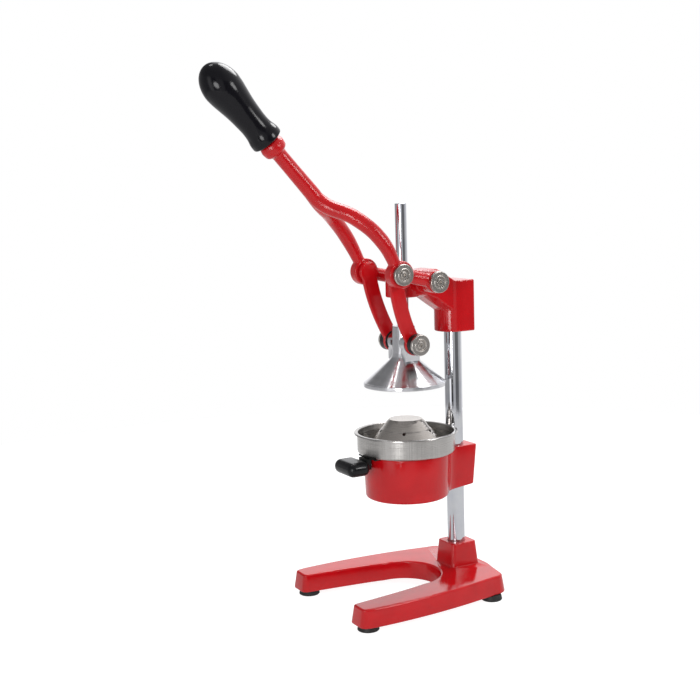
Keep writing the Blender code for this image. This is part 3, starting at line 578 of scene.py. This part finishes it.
def base():
    """Horseshoe with drafted sides and rounded edges, and the post that holds the column."""
    outline = base_outline()
    top_round, foot_round = 0.0026, 0.0014
    draft = BASE_DRAFT * top_round / (BASE_TOP - FOOT_H)
    rings = [level(grown(outline, BASE_DRAFT - foot_round * (1 - s)), FOOT_H + foot_round * (1 - c))
             for s, c in quarter(4)]
    rings += [level(grown(outline, draft - top_round * (1 - c)), BASE_TOP - top_round * (1 - s))
              for s, c in quarter(8)]
    casting = loft("base", rings)
    skirt, edge, foot_half, top_half, sunk = 0.0016, 0.0012, 0.0200, 0.0177, 0.004
    post = [(foot_half + skirt, BASE_TOP - sunk)]
    post += [(foot_half + skirt * (1 - s), BASE_TOP - 0.0003 + skirt * (1 - c)) for s, c in quarter(6)]
    post += [(top_half - edge * (1 - c), POST_TOP - edge * (1 - s)) for s, c in quarter(5)]
    casting = combined(casting, loft("post", [post_ring(half, z) for half, z in post]), "UNION")
    socket = rod_cutter("socket", COLUMN_R + GAP, (0, COLUMN_Y, 0.051), UP, 0.05, 64)
    pocket = rod_cutter("pocket", 0.0110, (0, COLUMN_Y, 0.009), UP, 0.020)
    casting = combined(casting, merged("cutters", [socket, pocket]), "DIFFERENCE")
    install(casting, "base_casting", enamel("base_enamel", 620.0, 0.00009, 0.06, 0.22))


def post_ring(half, z):
    """Rounded square round the column."""
    corner, centre_y = 0.0046, COLUMN_Y + 0.0010
    rounded = arc((half - corner, half - corner), corner, 0, 90, 8)
    ring = []
    for c, s in ((1, 0), (0, 1), (-1, 0), (0, -1)):
        ring += [(c * x - s * y, centre_y + s * x + c * y, z) for x, y in rounded]
    return ring


def feet():
    """Flared rubber feet, hollow underneath for their screws."""
    black = rubber("foot_rubber")
    for row in ("front", "rear"):
        for label, _ in SIDES:
            low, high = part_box(f"foot_{row}_{label}")
            centre = ((low.x + high.x) / 2, (low.y + high.y) / 2, 0)
            bore_r, recess = 0.0022, 0.0035
            foot = lathe("foot", [
                (bore_r, high.z), (0.0115, high.z, 0.0004), (0.0121, 0.0052, 0.003),
                (0.0129, 0.0010, 0.0008), (0.0121, 0.0, 0.0006), (0.0056, 0.0, 0.0005),
                (0.0050, recess, 0.0003), (bore_r, recess),
            ], centre, steps=64, closed=True)
            install(foot, f"foot_{row}_{label}", black)


# ---- column ----
def column():
    low, high = COLUMN_LOW.z, COLUMN_HIGH.z
    hole_r, hole_end = 0.0043, low + 0.022
    bar = lathe("column", [
        (0.0, high), (COLUMN_R, high, 0.001), (COLUMN_R, low, 0.0006), (hole_r, low, 0.0003),
        (hole_r, hole_end), (0.0, hole_end),
    ], COLUMN_AXIS, steps=128)
    install(bar, "column", chrome("column_chrome", COLUMN_AXIS))


# ---- head ----
def head_block(low, high):
    """Column socket: round in front, square behind, with rounded rims."""
    radius, rear, corner, edge = 0.0225, 0.0186, 0.0020, 0.0014
    outline = arc((0, 0), radius, 180, 360, 56)
    outline += arc((radius - corner, rear - corner), corner, 0, 90, 6)
    outline += arc((-radius + corner, rear - corner), corner, 90, 180, 6)
    outline = [(x, COLUMN_Y + y) for x, y in outline]
    rings = [level(grown(outline, -edge * (1 - s)), low + edge * (1 - c)) for s, c in quarter(4)]
    rings += [level(grown(outline, -edge * (1 - c)), high - edge * (1 - s)) for s, c in quarter(4)]
    return loft("head_block", rings)


def head_arm(top, root):
    """Arm from the rod guide back to the column socket, with a keel under it."""
    stations = [(SLIDE_Y, top, 0.3745, 0.3729), (COLUMN_Y - 0.0480, top, 0.3750, 0.3715),
                (COLUMN_Y - 0.0330, top, 0.3690, 0.3610), (COLUMN_Y - 0.0070, root, 0.3500, 0.3435),
                (COLUMN_Y - 0.0020, root, 0.3480, 0.3420)]
    half, keel, soft = 0.0194, 0.0110, 0.0022
    rings = []
    for y, z_top, z_side, z_keel in stations:
        section = filleted([(half, z_top, soft), (half, z_side, soft), (keel, z_keel, soft),
                            (-keel, z_keel, soft), (-half, z_side, soft), (-half, z_top, soft)], True, 30)
        rings.append([(x, y, z) for x, z in section])
    count = min(len(ring) for ring in rings)
    return loft("head_arm", [ring[:count] for ring in rings])


def head():
    low, high, top = 0.3260, 0.3890, 0.4045
    guide_r, guide_low = 0.0205, 0.3725
    guide = lathe("guide", [(0, top + 0.0004), (guide_r, top + 0.0004, 0.0016), (guide_r, guide_low, 0.0014),
                            (0, guide_low)], PRESS_AXIS)
    cross = disc("cross", 0.0130, -0.0334, 0.0334, 0.0010, FULCRUM, RIGHT)
    casting = fused("head", [head_block(low, high), head_arm(top, high - 0.0002), guide, cross], 0.0006, 5)
    cutters = [rod_cutter("column_bore", COLUMN_R + GAP, (0, COLUMN_Y, 0.3493), UP, 0.0700, 64),
               rod_cutter("bush_bore", 0.0098, (0, SLIDE_Y, 0.388), UP, 0.060, 64),
               rod_cutter("screw_bore", 0.0032, (0, COLUMN_Y + 0.0180, 0.3575), BACK, 0.020, 32)]
    casting = combined(casting, merged("cutters", cutters), "DIFFERENCE")
    install(casting, "head_casting", enamel("head_enamel", 700.0, 0.00004, 0.10))
    bush_r, bush_low, bush_high = 0.0095, 0.3730, 0.4047
    bush = lathe("bush", [(bush_r, bush_high, 0.0005), (bush_r, bush_low, 0.0005),
                          (ROD_R + GAP, bush_low, 0.0006), (ROD_R + GAP, bush_high, 0.0006)],
                 PRESS_AXIS, closed=True)
    bronze = turned_metal("bush_bronze", (0.50, 0.33, 0.15), 0.32, PRESS_AXIS)
    install(bush, "rod_guide_bush", bronze)


# ---- bolts ----
def pivot_bolt(node, side, centre, face, head_depth, radius, shank, colour=NICKEL):
    """Disc-headed shoulder bolt: a raised bead, a sunk ring and a small hex socket in its face.

    The shank is a list of steps, each a radius and the distance that it reaches down to.
    """
    axis = (side, 0, 0)
    corners = [(0.0, face - 0.0003), (0.0038, face - 0.0004, 0.0005), (0.0042, face - 0.0014, 0.0002),
               (0.0058, face - 0.0014, 0.0002), (0.0066, face + 0.0002, 0.0005),
               (0.0078, face + 0.0001, 0.0005), (0.0082, face - 0.0005, 0.0002),
               (radius - 0.0004, face - 0.0003, 0.0008), (radius, face - head_depth * 0.5, 0.001),
               (radius, face - head_depth, 0.0004)]
    height = face - head_depth
    for r, end in shank:
        corners += [(r, height), (r, end)]
        height = end
    corners.append((0.0, height))
    bolt = lathe("bolt", corners, centre, axis, 96)
    socket = rod_cutter("socket", 0.0023, Vector(centre) + Vector(axis) * face, axis, 0.0050, 6)
    bolt = combined(bolt, socket, "DIFFERENCE")
    metal = turned_metal("nickel_" + node, colour, 0.22, centre, axis, 0.000012, 2600.0)
    install(bolt, node, metal)


def pivot_bolts():
    head_depth = BOLT_FACE - EYE_OUT - GAP
    for label, side in SIDES:
        pivot_bolt(f"fulcrum_bolt_{label}", side, FULCRUM, BOLT_FACE, head_depth, BOLT_R,
                   [(0.0060, 0.0337), (0.0040, 0.0160)])
        pivot_bolt(f"link_bolt_{label}", side, LINK_PIVOT, BOLT_FACE, head_depth, BOLT_R,
                   [(0.0060, 0.0340), (0.0040, 0.0292)])
        pivot_bolt(f"cone_bolt_{label}", side, CONE_PIVOT, 0.0398, 0.0040, 0.0128, [(0.0050, 0.0232)],
                   BRIGHT_NICKEL)


# ---- lever ----
def fork_arm(side):
    """One arm of the fork as a swept tube, from inside the handle's rod down to its link eye."""
    inside = HANDLE_FOOT + HANDLE * 0.0260
    path = [((0.0002, inside.y, inside.z), 0.0078), ((0.0030, COLUMN_Y - 0.1792, 0.4882), 0.0092),
            ((0.0280, COLUMN_Y - 0.1481, 0.4690), 0.0090), ((0.0402, COLUMN_Y - 0.1220, 0.4425), 0.0087),
            ((EYE_MID, LINK_PIVOT.y, LINK_PIVOT.z), 0.0065)]
    curve = bpy.data.curves.new("fork_arm", "CURVE")
    curve.dimensions = "3D"
    curve.resolution_u = 24
    curve.bevel_depth = 1.0
    curve.bevel_resolution = 10
    curve.use_fill_caps = True
    spline = curve.splines.new("BEZIER")
    spline.bezier_points.add(len(path) - 1)
    for point, ((x, y, z), radius) in zip(spline.bezier_points, path):
        point.co = (side * x, y, z)
        point.radius = radius
        point.handle_left_type = point.handle_right_type = "AUTO"
    swept = new_object("fork_arm_curve", curve)
    mesh = evaluated_mesh(swept)
    shell = bmesh.new()
    shell.from_mesh(mesh)
    bmesh.ops.remove_doubles(shell, verts=shell.verts, dist=0.00001)
    shell.to_mesh(mesh)
    shell.free()
    remove(swept)
    return new_object("fork_arm", mesh)


def eye_bar(side):
    """Oval bar between the two eyes of one side."""
    across = Vector(RIGHT).cross((FULCRUM - LINK_PIVOT).normalized())
    half_x, half_across, sides = 0.0068, 0.0080, 40
    rings = []
    for point in (LINK_PIVOT, FULCRUM):
        ring = []
        for k in range(sides):
            a = 2 * math.pi * k / sides
            x = side * EYE_MID + math.cos(a) * half_x
            ring.append(point + Vector((x, 0, 0)) + across * math.sin(a) * half_across)
        rings.append(ring)
    return loft("eye_bar", rings)


def lever():
    """Rod with a tang and a collar at the grip, a fork, and two eyes on each side."""
    foot = -(HANDLE_COLLAR - HANDLE_FOOT).length
    tang_r, tang_end = 0.0060, 0.1000
    profile = [(0.0, tang_end), (tang_r, tang_end, 0.001), (tang_r, 0.0121, 0.001), (0.0128, 0.0119, 0.0030),
               (0.0148, 0.0052, 0.0060), (0.0136, -0.0026, 0.0040), (0.0086, -0.0052, 0.0040),
               (0.0087, -0.0300, 0.02), (0.0092, foot + 0.004, 0.01), (0.0074, foot - 0.010, 0.010),
               (0.0, foot - 0.0200)]
    parts = [lathe("handle", profile, HANDLE_COLLAR, HANDLE, 96)]
    for _, side in SIDES:
        outwards = (side, 0, 0)
        parts += [fork_arm(side), eye_bar(side),
                  disc("eye", 0.0163, EYE_IN, EYE_OUT, 0.0018, LINK_PIVOT, outwards),
                  disc("eye", 0.0136, EYE_IN, EYE_OUT, 0.0016, FULCRUM, outwards)]
    casting = fused("lever", parts, 0.0008, 10)
    bores = [rod_cutter("bore", 0.0063, centre, RIGHT, 0.2) for centre in (FULCRUM, LINK_PIVOT)]
    casting = combined(casting, merged("cutters", bores), "DIFFERENCE")
    install(casting, "lever_casting", enamel("lever_enamel", 780.0, 0.00022, 0.10))


def grip():
    """Moulded grip: flared foot, waist, swelling and a round end."""
    cap_r, cap, end = 0.0222, 0.0305, 0.1210
    side = through([(0.0165, 0.0189), (0.0210, 0.0186), (0.0285, 0.0168), (0.0370, 0.0162), (0.0470, 0.0167),
                    (0.0600, 0.0179), (0.0720, 0.0198), (0.0820, 0.0214), (end - cap, cap_r)], 72)
    corners = [(0.0, end)]
    corners += [(cap_r * s, end - cap * (1 - c)) for s, c in quarter(28)[1:-1]]
    corners += [(r, along) for along, r in reversed(side)]
    bore_r, bore_end = 0.0066, 0.1010
    corners += [(0.0186, 0.0130, 0.0030), (0.0150, 0.0130, 0.0010), (0.0140, 0.0137, 0.0010),
                (bore_r, 0.0137, 0.0008), (bore_r, bore_end), (0.0, bore_end)]
    handle = lathe("grip", corners, HANDLE_COLLAR, HANDLE, 128)
    black = plastic("grip_black", (0.0022, 0.0020, 0.0034), 0.13, 700.0, 0.00002)
    install(handle, "grip", black)


# ---- links ----
def link(label, side):
    """Bowed flat bar with an eye at each end; it leans in towards the cone."""
    top_in, top_out, end_in, end_out = 0.0272, 0.0337, 0.0222, 0.0268
    half_width, soft, steps = 0.0098, 0.0021, 48
    bow = [Vector(LINK_PIVOT.yz), Vector((COLUMN_Y - 0.0960, 0.3710)), Vector((COLUMN_Y - 0.0870, 0.3430)),
           Vector(CONE_PIVOT.yz)]
    rings = []
    for k in range(steps + 1):
        t = 0.02 + 0.96 * k / steps
        here = cubic(bow, t)
        along = (cubic(bow, min(t + 0.01, 1)) - cubic(bow, max(t - 0.01, 0))).normalized()
        across = Vector((-along.y, along.x))
        ease = t * t * (3 - 2 * t)
        middle = (top_in + top_out) / 2 * (1 - ease) + (end_in + end_out) / 2 * ease
        half = 0.0031 - 0.0010 * ease
        section = filleted([(-half_width, -half, soft), (half_width, -half, soft), (half_width, half, soft),
                            (-half_width, half, soft)], True, 18)
        rings.append([(side * (middle + v), *(here + across * u)) for u, v in section])
    outwards = (side, 0, 0)
    parts = [loft("link", rings), disc("eye", 0.0122, top_in, top_out, 0.0012, LINK_PIVOT, outwards),
             disc("eye", 0.0134, end_in, end_out, 0.0012, CONE_PIVOT, outwards)]
    piece = fused("link", parts, 0.0006, 5)
    bore = rod_cutter("bore", 0.0053, CONE_PIVOT, RIGHT, 0.2)
    piece = combined(piece, bore, "DIFFERENCE")
    install(piece, f"link_{label}", enamel(f"link_enamel_{label}", 760.0, 0.00014, 0.10))


def links():
    """Links, with a bush in each lower eye and a plain disc between the link and the cone's lug."""
    nylon = plastic("black_nylon", WORN_BLACK, 0.32, 1500.0, 0.00004)
    for label, side in SIDES:
        link(label, side)
        for node, radius, inner, soft in ((f"cone_bush_{label}", 0.0126, 0.0053, 0.0008),
                                          (f"lug_washer_{label}", 0.0130, 0, 0.0005)):
            low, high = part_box(node)
            near, far = sorted((side * low.x, side * high.x))
            ring = disc("ring", radius, near, far, soft, CONE_PIVOT, (side, 0, 0), 80, inner)
            install(ring, node, nylon)


# ---- press ----
def press():
    """Rod, and the cone with its neck and two lugs in one piece."""
    rod = lathe("rod", [(0, ROD_HIGH.z), (ROD_R, ROD_HIGH.z, 0.0009), (ROD_R, ROD_LOW.z), (0, ROD_LOW.z)],
                PRESS_AXIS)
    install(rod, "press_rod", chrome("rod_chrome", PRESS_AXIS))
    rim, foot, slope = 0.0500, CONE_LOW.z, 0.845
    lip = foot + 0.0048
    shoulder_r, neck_r, neck_top = 0.0185, 0.0140, CONE_HIGH.z
    shoulder = lip + (rim - shoulder_r) * slope
    inner_r = 0.0150
    inner_top = lip + (rim - inner_r) * slope - 0.0048
    cone = lathe("cone", [
        (ROD_R + GAP, neck_top), (neck_r, neck_top, 0.0010), (neck_r, shoulder + 0.0090, 0.0050),
        (0.0154, shoulder + 0.0038, 0.0030), (shoulder_r, shoulder, 0.0040),
        (rim - 0.0016, lip + 0.0004, 0.0004), (rim - 0.0010, lip + 0.0004, 0.0003),
        (rim, lip - 0.0004, 0.0006), (rim, foot, 0.0005), (rim - 0.0025, foot, 0.0005),
        (rim - 0.0031, lip - 0.0022, 0.0020), (inner_r, inner_top, 0.0040), (0.0, inner_top),
        (0.0, ROD_LOW.z - GAP), (ROD_R + GAP, ROD_LOW.z - GAP),
    ], PRESS_AXIS, steps=192, closed=True)
    lugs = block("lugs", (-0.0205, SLIDE_Y - 0.0100, 0.2955), (0.0205, SLIDE_Y + 0.0100, 0.3170), 0.0010, 3)
    boss = disc("boss", 0.0118, -0.0206, 0.0206, 0.0010, CONE_PIVOT, RIGHT, 80)
    lugs = combined(lugs, boss, "UNION")
    lugs = combined(lugs, rod_cutter("bore", 0.0100, (0, SLIDE_Y, 0.310), UP, 0.06, 64), "DIFFERENCE")
    cone = combined(cone, lugs, "UNION")
    metal = turned_metal("cone_metal", (0.66, 0.66, 0.68), 0.20, PRESS_AXIS, depth=0.000012, scale=1500.0,
                         streak=0.8)
    install(cone, "press_cone", metal)


# ---- holder and funnel ----
def holder_outline(ring_r, half, rear):
    """Ring and clamp seen from above, with a concave fillet where they meet."""
    fillet, corner = 0.0240, 0.0030
    ring_y = SLIDE_Y - COLUMN_Y
    fx = half + fillet
    fy = ring_y + math.sqrt((ring_r + fillet) ** 2 - fx ** 2)
    start = math.degrees(math.atan2(fy - ring_y, fx))
    points = arc((0, ring_y), ring_r, -90, start, 80)
    points += arc((fx, fy), fillet, 180 + start, 180, 20)[1:]
    points += arc((half - corner, rear - corner), corner, 0, 90, 7)
    points += [(-x, y) for x, y in reversed(points[1:])]
    return [(x, COLUMN_Y + y) for x, y in points]


def holder_ring(ring_r, half, rear, z_ring, z_rear):
    """One level of the holder; the clamp's underside climbs towards the rear."""
    ring = []
    for x, y in holder_outline(ring_r, half, rear):
        climb = max(0.0, min(1.0, (y - COLUMN_Y + 0.020) / 0.040))
        ring.append((x, y, z_ring + (z_rear - z_ring) * climb))
    return ring


def holder():
    """Ring with a sloping wall and a column clamp; a notch in front for the cup's handle."""
    low, top = (corner.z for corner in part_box("cup_holder"))
    r_low, r_top, half, rear, climb = 0.0512, 0.0530, 0.0175, 0.0221, 0.0040
    soft = 0.0032
    rings = []
    for s, c in quarter(6):
        inset, rise = soft * (1 - s), soft * (1 - c)
        rings.append(holder_ring(r_low - inset, half - 0.0019 - inset * 0.4, rear - 0.0038 - inset * 0.4,
                                 low + rise, low + climb + rise * 0.5))
    soft = 0.0012
    for s, c in quarter(4):
        inset, z = soft * (1 - c), top - soft * (1 - s)
        rings.append(holder_ring(r_top - inset, half - inset, rear - inset, z, z))
    casting = loft("holder", rings)
    mouth_r, wall_r, seat_r, seat, past = 0.0484, 0.0472, 0.0440, 0.1500, 0.010
    bore = lathe("bore", [(0, top + past), (mouth_r, top + past), (mouth_r, top + 0.0002),
                          (wall_r, top - 0.0010, 0.0006), (wall_r, seat, 0.0006),
                          (seat_r, seat - 0.0002, 0.0006), (seat_r, low - past), (0, low - past)],
                 PRESS_AXIS, steps=160)
    casting = combined(casting, bore, "DIFFERENCE")
    cutters = [rod_cutter("column_bore", COLUMN_R + GAP, (0, COLUMN_Y, 0.155), UP, 0.12, 64),
               rod_cutter("screw_bore", 0.0032, (0, COLUMN_Y + 0.0200, 0.1580), BACK, 0.024, 32)]
    casting = combined(casting, merged("cutters", cutters), "DIFFERENCE")
    notch = block("notch", (-0.0208, SLIDE_Y - 0.063, 0.1808), (0.0208, SLIDE_Y - 0.030, 0.1925), 0.0)
    casting = combined(casting, notch, "DIFFERENCE")
    install(casting, "cup_holder", enamel("holder_enamel", 650.0, 0.00008, 0.08))


def funnel():
    """Thin funnel that rests with its rim on the holder's seat."""
    seat, sheet, rim, mouth, spout_low = 0.1503, 0.0012, 0.0464, 0.0430, 0.1240
    piece = lathe("funnel", [
        (rim, seat + sheet, 0.0003), (rim, seat, 0.0003), (mouth, seat, 0.0006),
        (mouth, seat - 0.0030, 0.004), (0.0108, 0.1340, 0.004), (0.0100, spout_low, 0.0003),
        (0.0088, spout_low, 0.0003), (0.0093, 0.1350, 0.004), (mouth - sheet, seat - 0.0015, 0.003),
        (mouth - sheet, seat + sheet, 0.0006),
    ], PRESS_AXIS, steps=128, closed=True)
    steel = turned_metal("funnel_steel", (0.60, 0.585, 0.565), 0.27, PRESS_AXIS)
    install(piece, "juice_funnel", steel)


# ---- strainer ----
def strainer_cup():
    """Cup of thin sheet: rim with a scallop for the column, and a collar with a ledge for the reamer."""
    rim, wall, low, sheet = 0.2086, 0.0598, 0.1831, 0.0012
    collar, collar_low, floor_r = 0.0466, 0.1770, 0.0380
    cup = lathe("cup", [
        (wall - sheet, rim - 0.0002, 0.0010), (0.0630, rim, 0.0009), (0.0635, rim - 0.0022, 0.0009),
        (0.0622, rim - 0.0024, 0.0006), (wall, rim - 0.0020, 0.0012), (wall, low, 0.0032),
        (collar, low, 0.0010), (collar, collar_low, 0.0008), (floor_r, collar_low, 0.0003),
        (floor_r, collar_low + sheet, 0.0003), (collar - sheet, collar_low + sheet, 0.0006),
        (collar - sheet, low + sheet, 0.0008), (wall - sheet, low + sheet, 0.0034),
    ], PRESS_AXIS, steps=224, closed=True)
    scallop = rod_cutter("scallop", COLUMN_R + 2 * GAP, (0, COLUMN_Y, rim), UP, 0.02, 64)
    cup = combined(cup, scallop, "DIFFERENCE")
    metal = turned_metal("cup_steel", (0.46, 0.445, 0.43), 0.27, PRESS_AXIS, scale=1700.0, streak=0.6)
    install(cup, "strainer_cup", metal)


def reamer():
    """Stepped dome of thin sheet with two rings of drain holes."""
    top, seat = 0.2235, 0.1785
    outer = [(0.0, top), (0.0200, top, 0.0020), (0.0230, top - 0.0030, 0.0020),
             (0.0292, top - 0.0118, 0.0020), (0.0309, top - 0.0130, 0.0020), (0.0394, top - 0.0240, 0.004),
             (0.0430, seat + 0.0040, 0.002), (0.0437, seat + 0.0010, 0.0006), (0.0448, seat + 0.0010, 0.0003)]
    inner = [(0.0448, seat, 0.0003), (0.0429, seat, 0.0006), (0.0419, seat + 0.0035, 0.002),
             (0.0384, top - 0.0246, 0.004), (0.0299, top - 0.0138, 0.002), (0.0282, top - 0.0124, 0.002),
             (0.0221, top - 0.0036, 0.002), (0.0197, top - 0.0010, 0.0015), (0.0, top - 0.0010)]
    dome = lathe("reamer", outer + inner, PRESS_AXIS, steps=160)
    hole_r, tilt = 0.0020, math.radians(35)
    cutters = []
    for count, ring_r, z, turn in ((5, 0.0314, top - 0.0138, -35.5), (6, 0.0414, top - 0.0330, -22.5)):
        for k in range(count):
            a = math.radians(turn + 360 * k / count)
            axis = (math.cos(a) * math.cos(tilt), math.sin(a) * math.cos(tilt), math.sin(tilt))
            centre = (ring_r * math.cos(a), SLIDE_Y + ring_r * math.sin(a), z)
            cutters.append(rod_cutter("drain", hole_r, centre, axis, 0.010, 24))
    dome = combined(dome, merged("cutters", cutters), "DIFFERENCE")
    metal = turned_metal("reamer_steel", (0.50, 0.465, 0.43), 0.24, PRESS_AXIS, scale=1700.0)
    install(dome, "reamer", metal)


def cup_handle():
    """Black knob on a plate and web; two rivets run forwards through the web into the knob."""
    low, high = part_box("cup_handle")
    knob = block("knob", low, high, 0.0082, 10)
    holes, rivets = [], []
    for label, _ in SIDES:
        near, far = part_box(f"handle_rivet_{label}")
        x, z = (near.x + far.x) / 2, (near.z + far.z) / 2
        holes.append(rod_cutter("hole", 0.0018, (x, high.y, z), BACK, 0.026, 32))
        head_r, shank_r, under_head = 0.0030, 0.0015, far.y - 0.0012
        rivet = lathe("rivet", [(0, far.y), (head_r, far.y - 0.0005, 0.0016), (head_r, under_head, 0.0002),
                                (shank_r, under_head), (shank_r, near.y), (0, near.y)], (x, 0, z), BACK, 48)
        rivets.append((label, rivet, (x, near.y, z)))
    cutter = merged("cutters", holes)
    low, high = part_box("handle_bracket")
    plate = block("plate", (low.x, SLIDE_Y - 0.0560, 0.1811), high, 0.0004, 2)
    web_half, web_rear, web_top = 0.0095, SLIDE_Y - 0.0550, 0.1820
    web = block("web", (-web_half, low.y, low.z), (web_half, web_rear, web_top), 0.0004, 2)
    plate = combined(plate, web, "UNION")
    plate = combined(plate, new_object("cutters", cutter.data.copy()), "DIFFERENCE")
    knob = combined(knob, cutter, "DIFFERENCE")
    install(knob, "cup_handle", plastic("knob_black", (0.0030, 0.0030, 0.0038), 0.18, 900.0, 0.00004))
    install(plate, "handle_bracket", plastic("bracket_black", WORN_BLACK, 0.32, 1500.0, 0.00004))
    for label, rivet, centre in rivets:
        metal = turned_metal(f"rivet_steel_{label}", ZINC, 0.3, centre, BACK)
        install(rivet, f"handle_rivet_{label}", metal)


def small_parts():
    """Carried-over fasteners."""
    zinc = turned_metal("zinc_steel", ZINC, 0.34, COLUMN_AXIS, depth=0.00003, scale=900.0)
    nodes = ["column_bolt", "column_bolt_washer", "head_set_screw", "holder_set_screw", "grip_pin"]
    nodes += [f"foot_screw_{row}_{label}" for row in ("front", "rear") for label, _ in SIDES]
    for node in nodes:
        dress(frame["nodes"][node], zinc)


# ---- stage ----
CAMERA_AT = Vector((1.21208, COLUMN_Y - 0.81595, 0.50466))
CAMERA_AZIMUTH, CAMERA_ELEVATION, CAMERA_ROLL = 61.059, 7.820, -1.734
LENS_MM = 60.91
FLOOR_RADIUS = 1.25


def camera():
    """Camera turned by its azimuth, elevation and roll."""
    azimuth, elevation, roll = (math.radians(v) for v in (CAMERA_AZIMUTH, CAMERA_ELEVATION, CAMERA_ROLL))
    back = Vector((math.sin(azimuth) * math.cos(elevation), -math.cos(azimuth) * math.cos(elevation),
                   math.sin(elevation)))
    right = Vector(UP).cross(back).normalized()
    up = back.cross(right)
    tilted = right * math.cos(roll) + up * math.sin(roll)
    upright = up * math.cos(roll) - right * math.sin(roll)
    data = bpy.data.cameras.new("camera")
    data.lens = LENS_MM
    data.sensor_width = 36.0
    data.clip_end = 20.0
    eye_point = bpy.data.objects.new("camera", data)
    bpy.context.scene.collection.objects.link(eye_point)
    turn = Matrix((tilted, upright, back)).transposed()
    eye_point.matrix_world = Matrix.Translation(CAMERA_AT) @ turn.to_4x4()
    bpy.context.scene.camera = eye_point


def softbox(name, place, aim, size, power):
    """Round area light, itself unseen by the camera."""
    data = bpy.data.lights.new(name, "AREA")
    data.shape = "DISK"
    data.size = size
    data.energy = power
    lamp = bpy.data.objects.new(name, data)
    bpy.context.scene.collection.objects.link(lamp)
    lamp.location = place
    lamp.rotation_euler = (Vector(aim) - Vector(place)).to_track_quat("-Z", "Y").to_euler()
    lamp.visible_camera = False


def around(azimuth, distance, height):
    """Point round the press; azimuth in degrees from the camera's, positive to its right."""
    a = math.radians(CAMERA_AZIMUTH - 90 + azimuth)
    return (distance * math.cos(a), SLIDE_Y + distance * math.sin(a), height)


# The room's walls: azimuth in degrees and brightness, low down and higher up.
NEAR_HORIZON = [(-180, 0.60), (-150, 0.50), (-108, 0.50), (-96, 0.42), (-86, 0.70), (-80, 1.75), (-66, 1.75),
                (-60, 0.08), (-40, 0.06), (-34, 0.72), (-10, 0.76), (-3, 0.20), (36, 0.22), (46, 0.72),
                (74, 0.80), (90, 1.20), (115, 1.10), (135, 1.25), (165, 1.25), (180, 0.75)]
HIGH_UP = [(-180, 0.24), (-150, 0.30), (-110, 0.40), (-60, 0.45), (0, 0.50), (60, 0.95), (100, 1.35),
           (128, 1.30), (138, 2.00), (158, 2.00), (168, 0.35), (180, 0.24)]
OVERHEAD = (0.60, 0.60, 0.61)


def wall_ring(n, fraction, bands):
    """Brightness round the room, from a list of bands."""
    ring = n.node("ValToRGB", {"Fac": fraction})
    stops = ring.color_ramp.elements
    while len(stops) < len(bands):
        stops.new(0.5)
    for stop, (azimuth, brightness) in zip(stops, bands):
        stop.position = (azimuth + 180) / 360
        stop.color = (brightness, brightness, brightness * 1.02, 1)
    return ring.outputs["Color"]


def studio():
    """White sweep for the camera; for the light, a room with bright and dark walls, and softboxes."""
    world = bpy.data.worlds.new("studio")
    bpy.context.scene.world = world
    world.use_nodes = True
    world.node_tree.nodes.clear()
    n = Nodes(world.node_tree)
    split = n.node("SeparateXYZ", {"Vector": n.node("TexCoord").outputs["Generated"]})
    turn = n.math("ARCTAN2", split.outputs["Y"], split.outputs["X"])
    fraction = n.ramp(turn, -math.pi, math.pi)
    height = split.outputs["Z"]
    climb = n.ramp(height, 0.16, 0.42, interpolation_type="SMOOTHSTEP")
    walls = n.blend(climb, wall_ring(n, fraction, NEAR_HORIZON), wall_ring(n, fraction, HIGH_UP))
    whole = n.blend(n.ramp(height, 0.80, 0.98, interpolation_type="SMOOTHSTEP"), walls, OVERHEAD)
    room = n.node("Background", {"Color": whole, "Strength": 0.9})
    sweep = n.node("Background", {"Color": (1, 1, 1, 1)})
    pick = n.node("MixShader")
    seen = n.node("LightPath").outputs["Is Camera Ray"]
    for source, socket in zip((seen, room.outputs[0], sweep.outputs[0]), pick.inputs):
        n.link(source, socket)
    n.node("OutputWorld", {"Surface": pick.outputs[0]})
    for name, place, size, power in (("key", around(-20, 1.5, 0.36), 0.55, 8),
                                     ("fill", around(58, 1.5, 0.88), 0.52, 8),
                                     ("left", around(-107, 0.5, 1.65), 0.26, 1.2),
                                     ("back", around(150, 0.60, 1.5), 0.8, 16)):
        softbox(name, place, (0, SLIDE_Y - 0.03, 0.32), size, power)


def floor():
    """Sheet under the press, white to the camera by its own light, so that shadows on it stay faint."""
    sheet = lathe("floor", [(0.0, 0.0), (FLOOR_RADIUS, 0.0)], PRESS_AXIS)
    n = Finish("floor_white")
    seen = n.node("LightPath").outputs["Is Camera Ray"]
    n.set(Base_Color=n.blend(n.noise(3.0, 2.0), (0.27, 0.27, 0.27), (0.29, 0.29, 0.29)), Roughness=0.9,
          Emission_Color=(1.0, 1.0, 1.0, 1.0), Emission_Strength=n.ramp(seen, 0.0, 1.0, 0.55, 0.92),
          Specular_IOR_Level=0.0)
    dress(sheet, n.material)


base()
feet()
column()
head()
pivot_bolts()
lever()
grip()
links()
press()
holder()
funnel()
strainer_cup()
reamer()
cup_handle()
small_parts()
camera()
studio()
floor()
bpy.context.scene.view_settings.view_transform = "Standard"
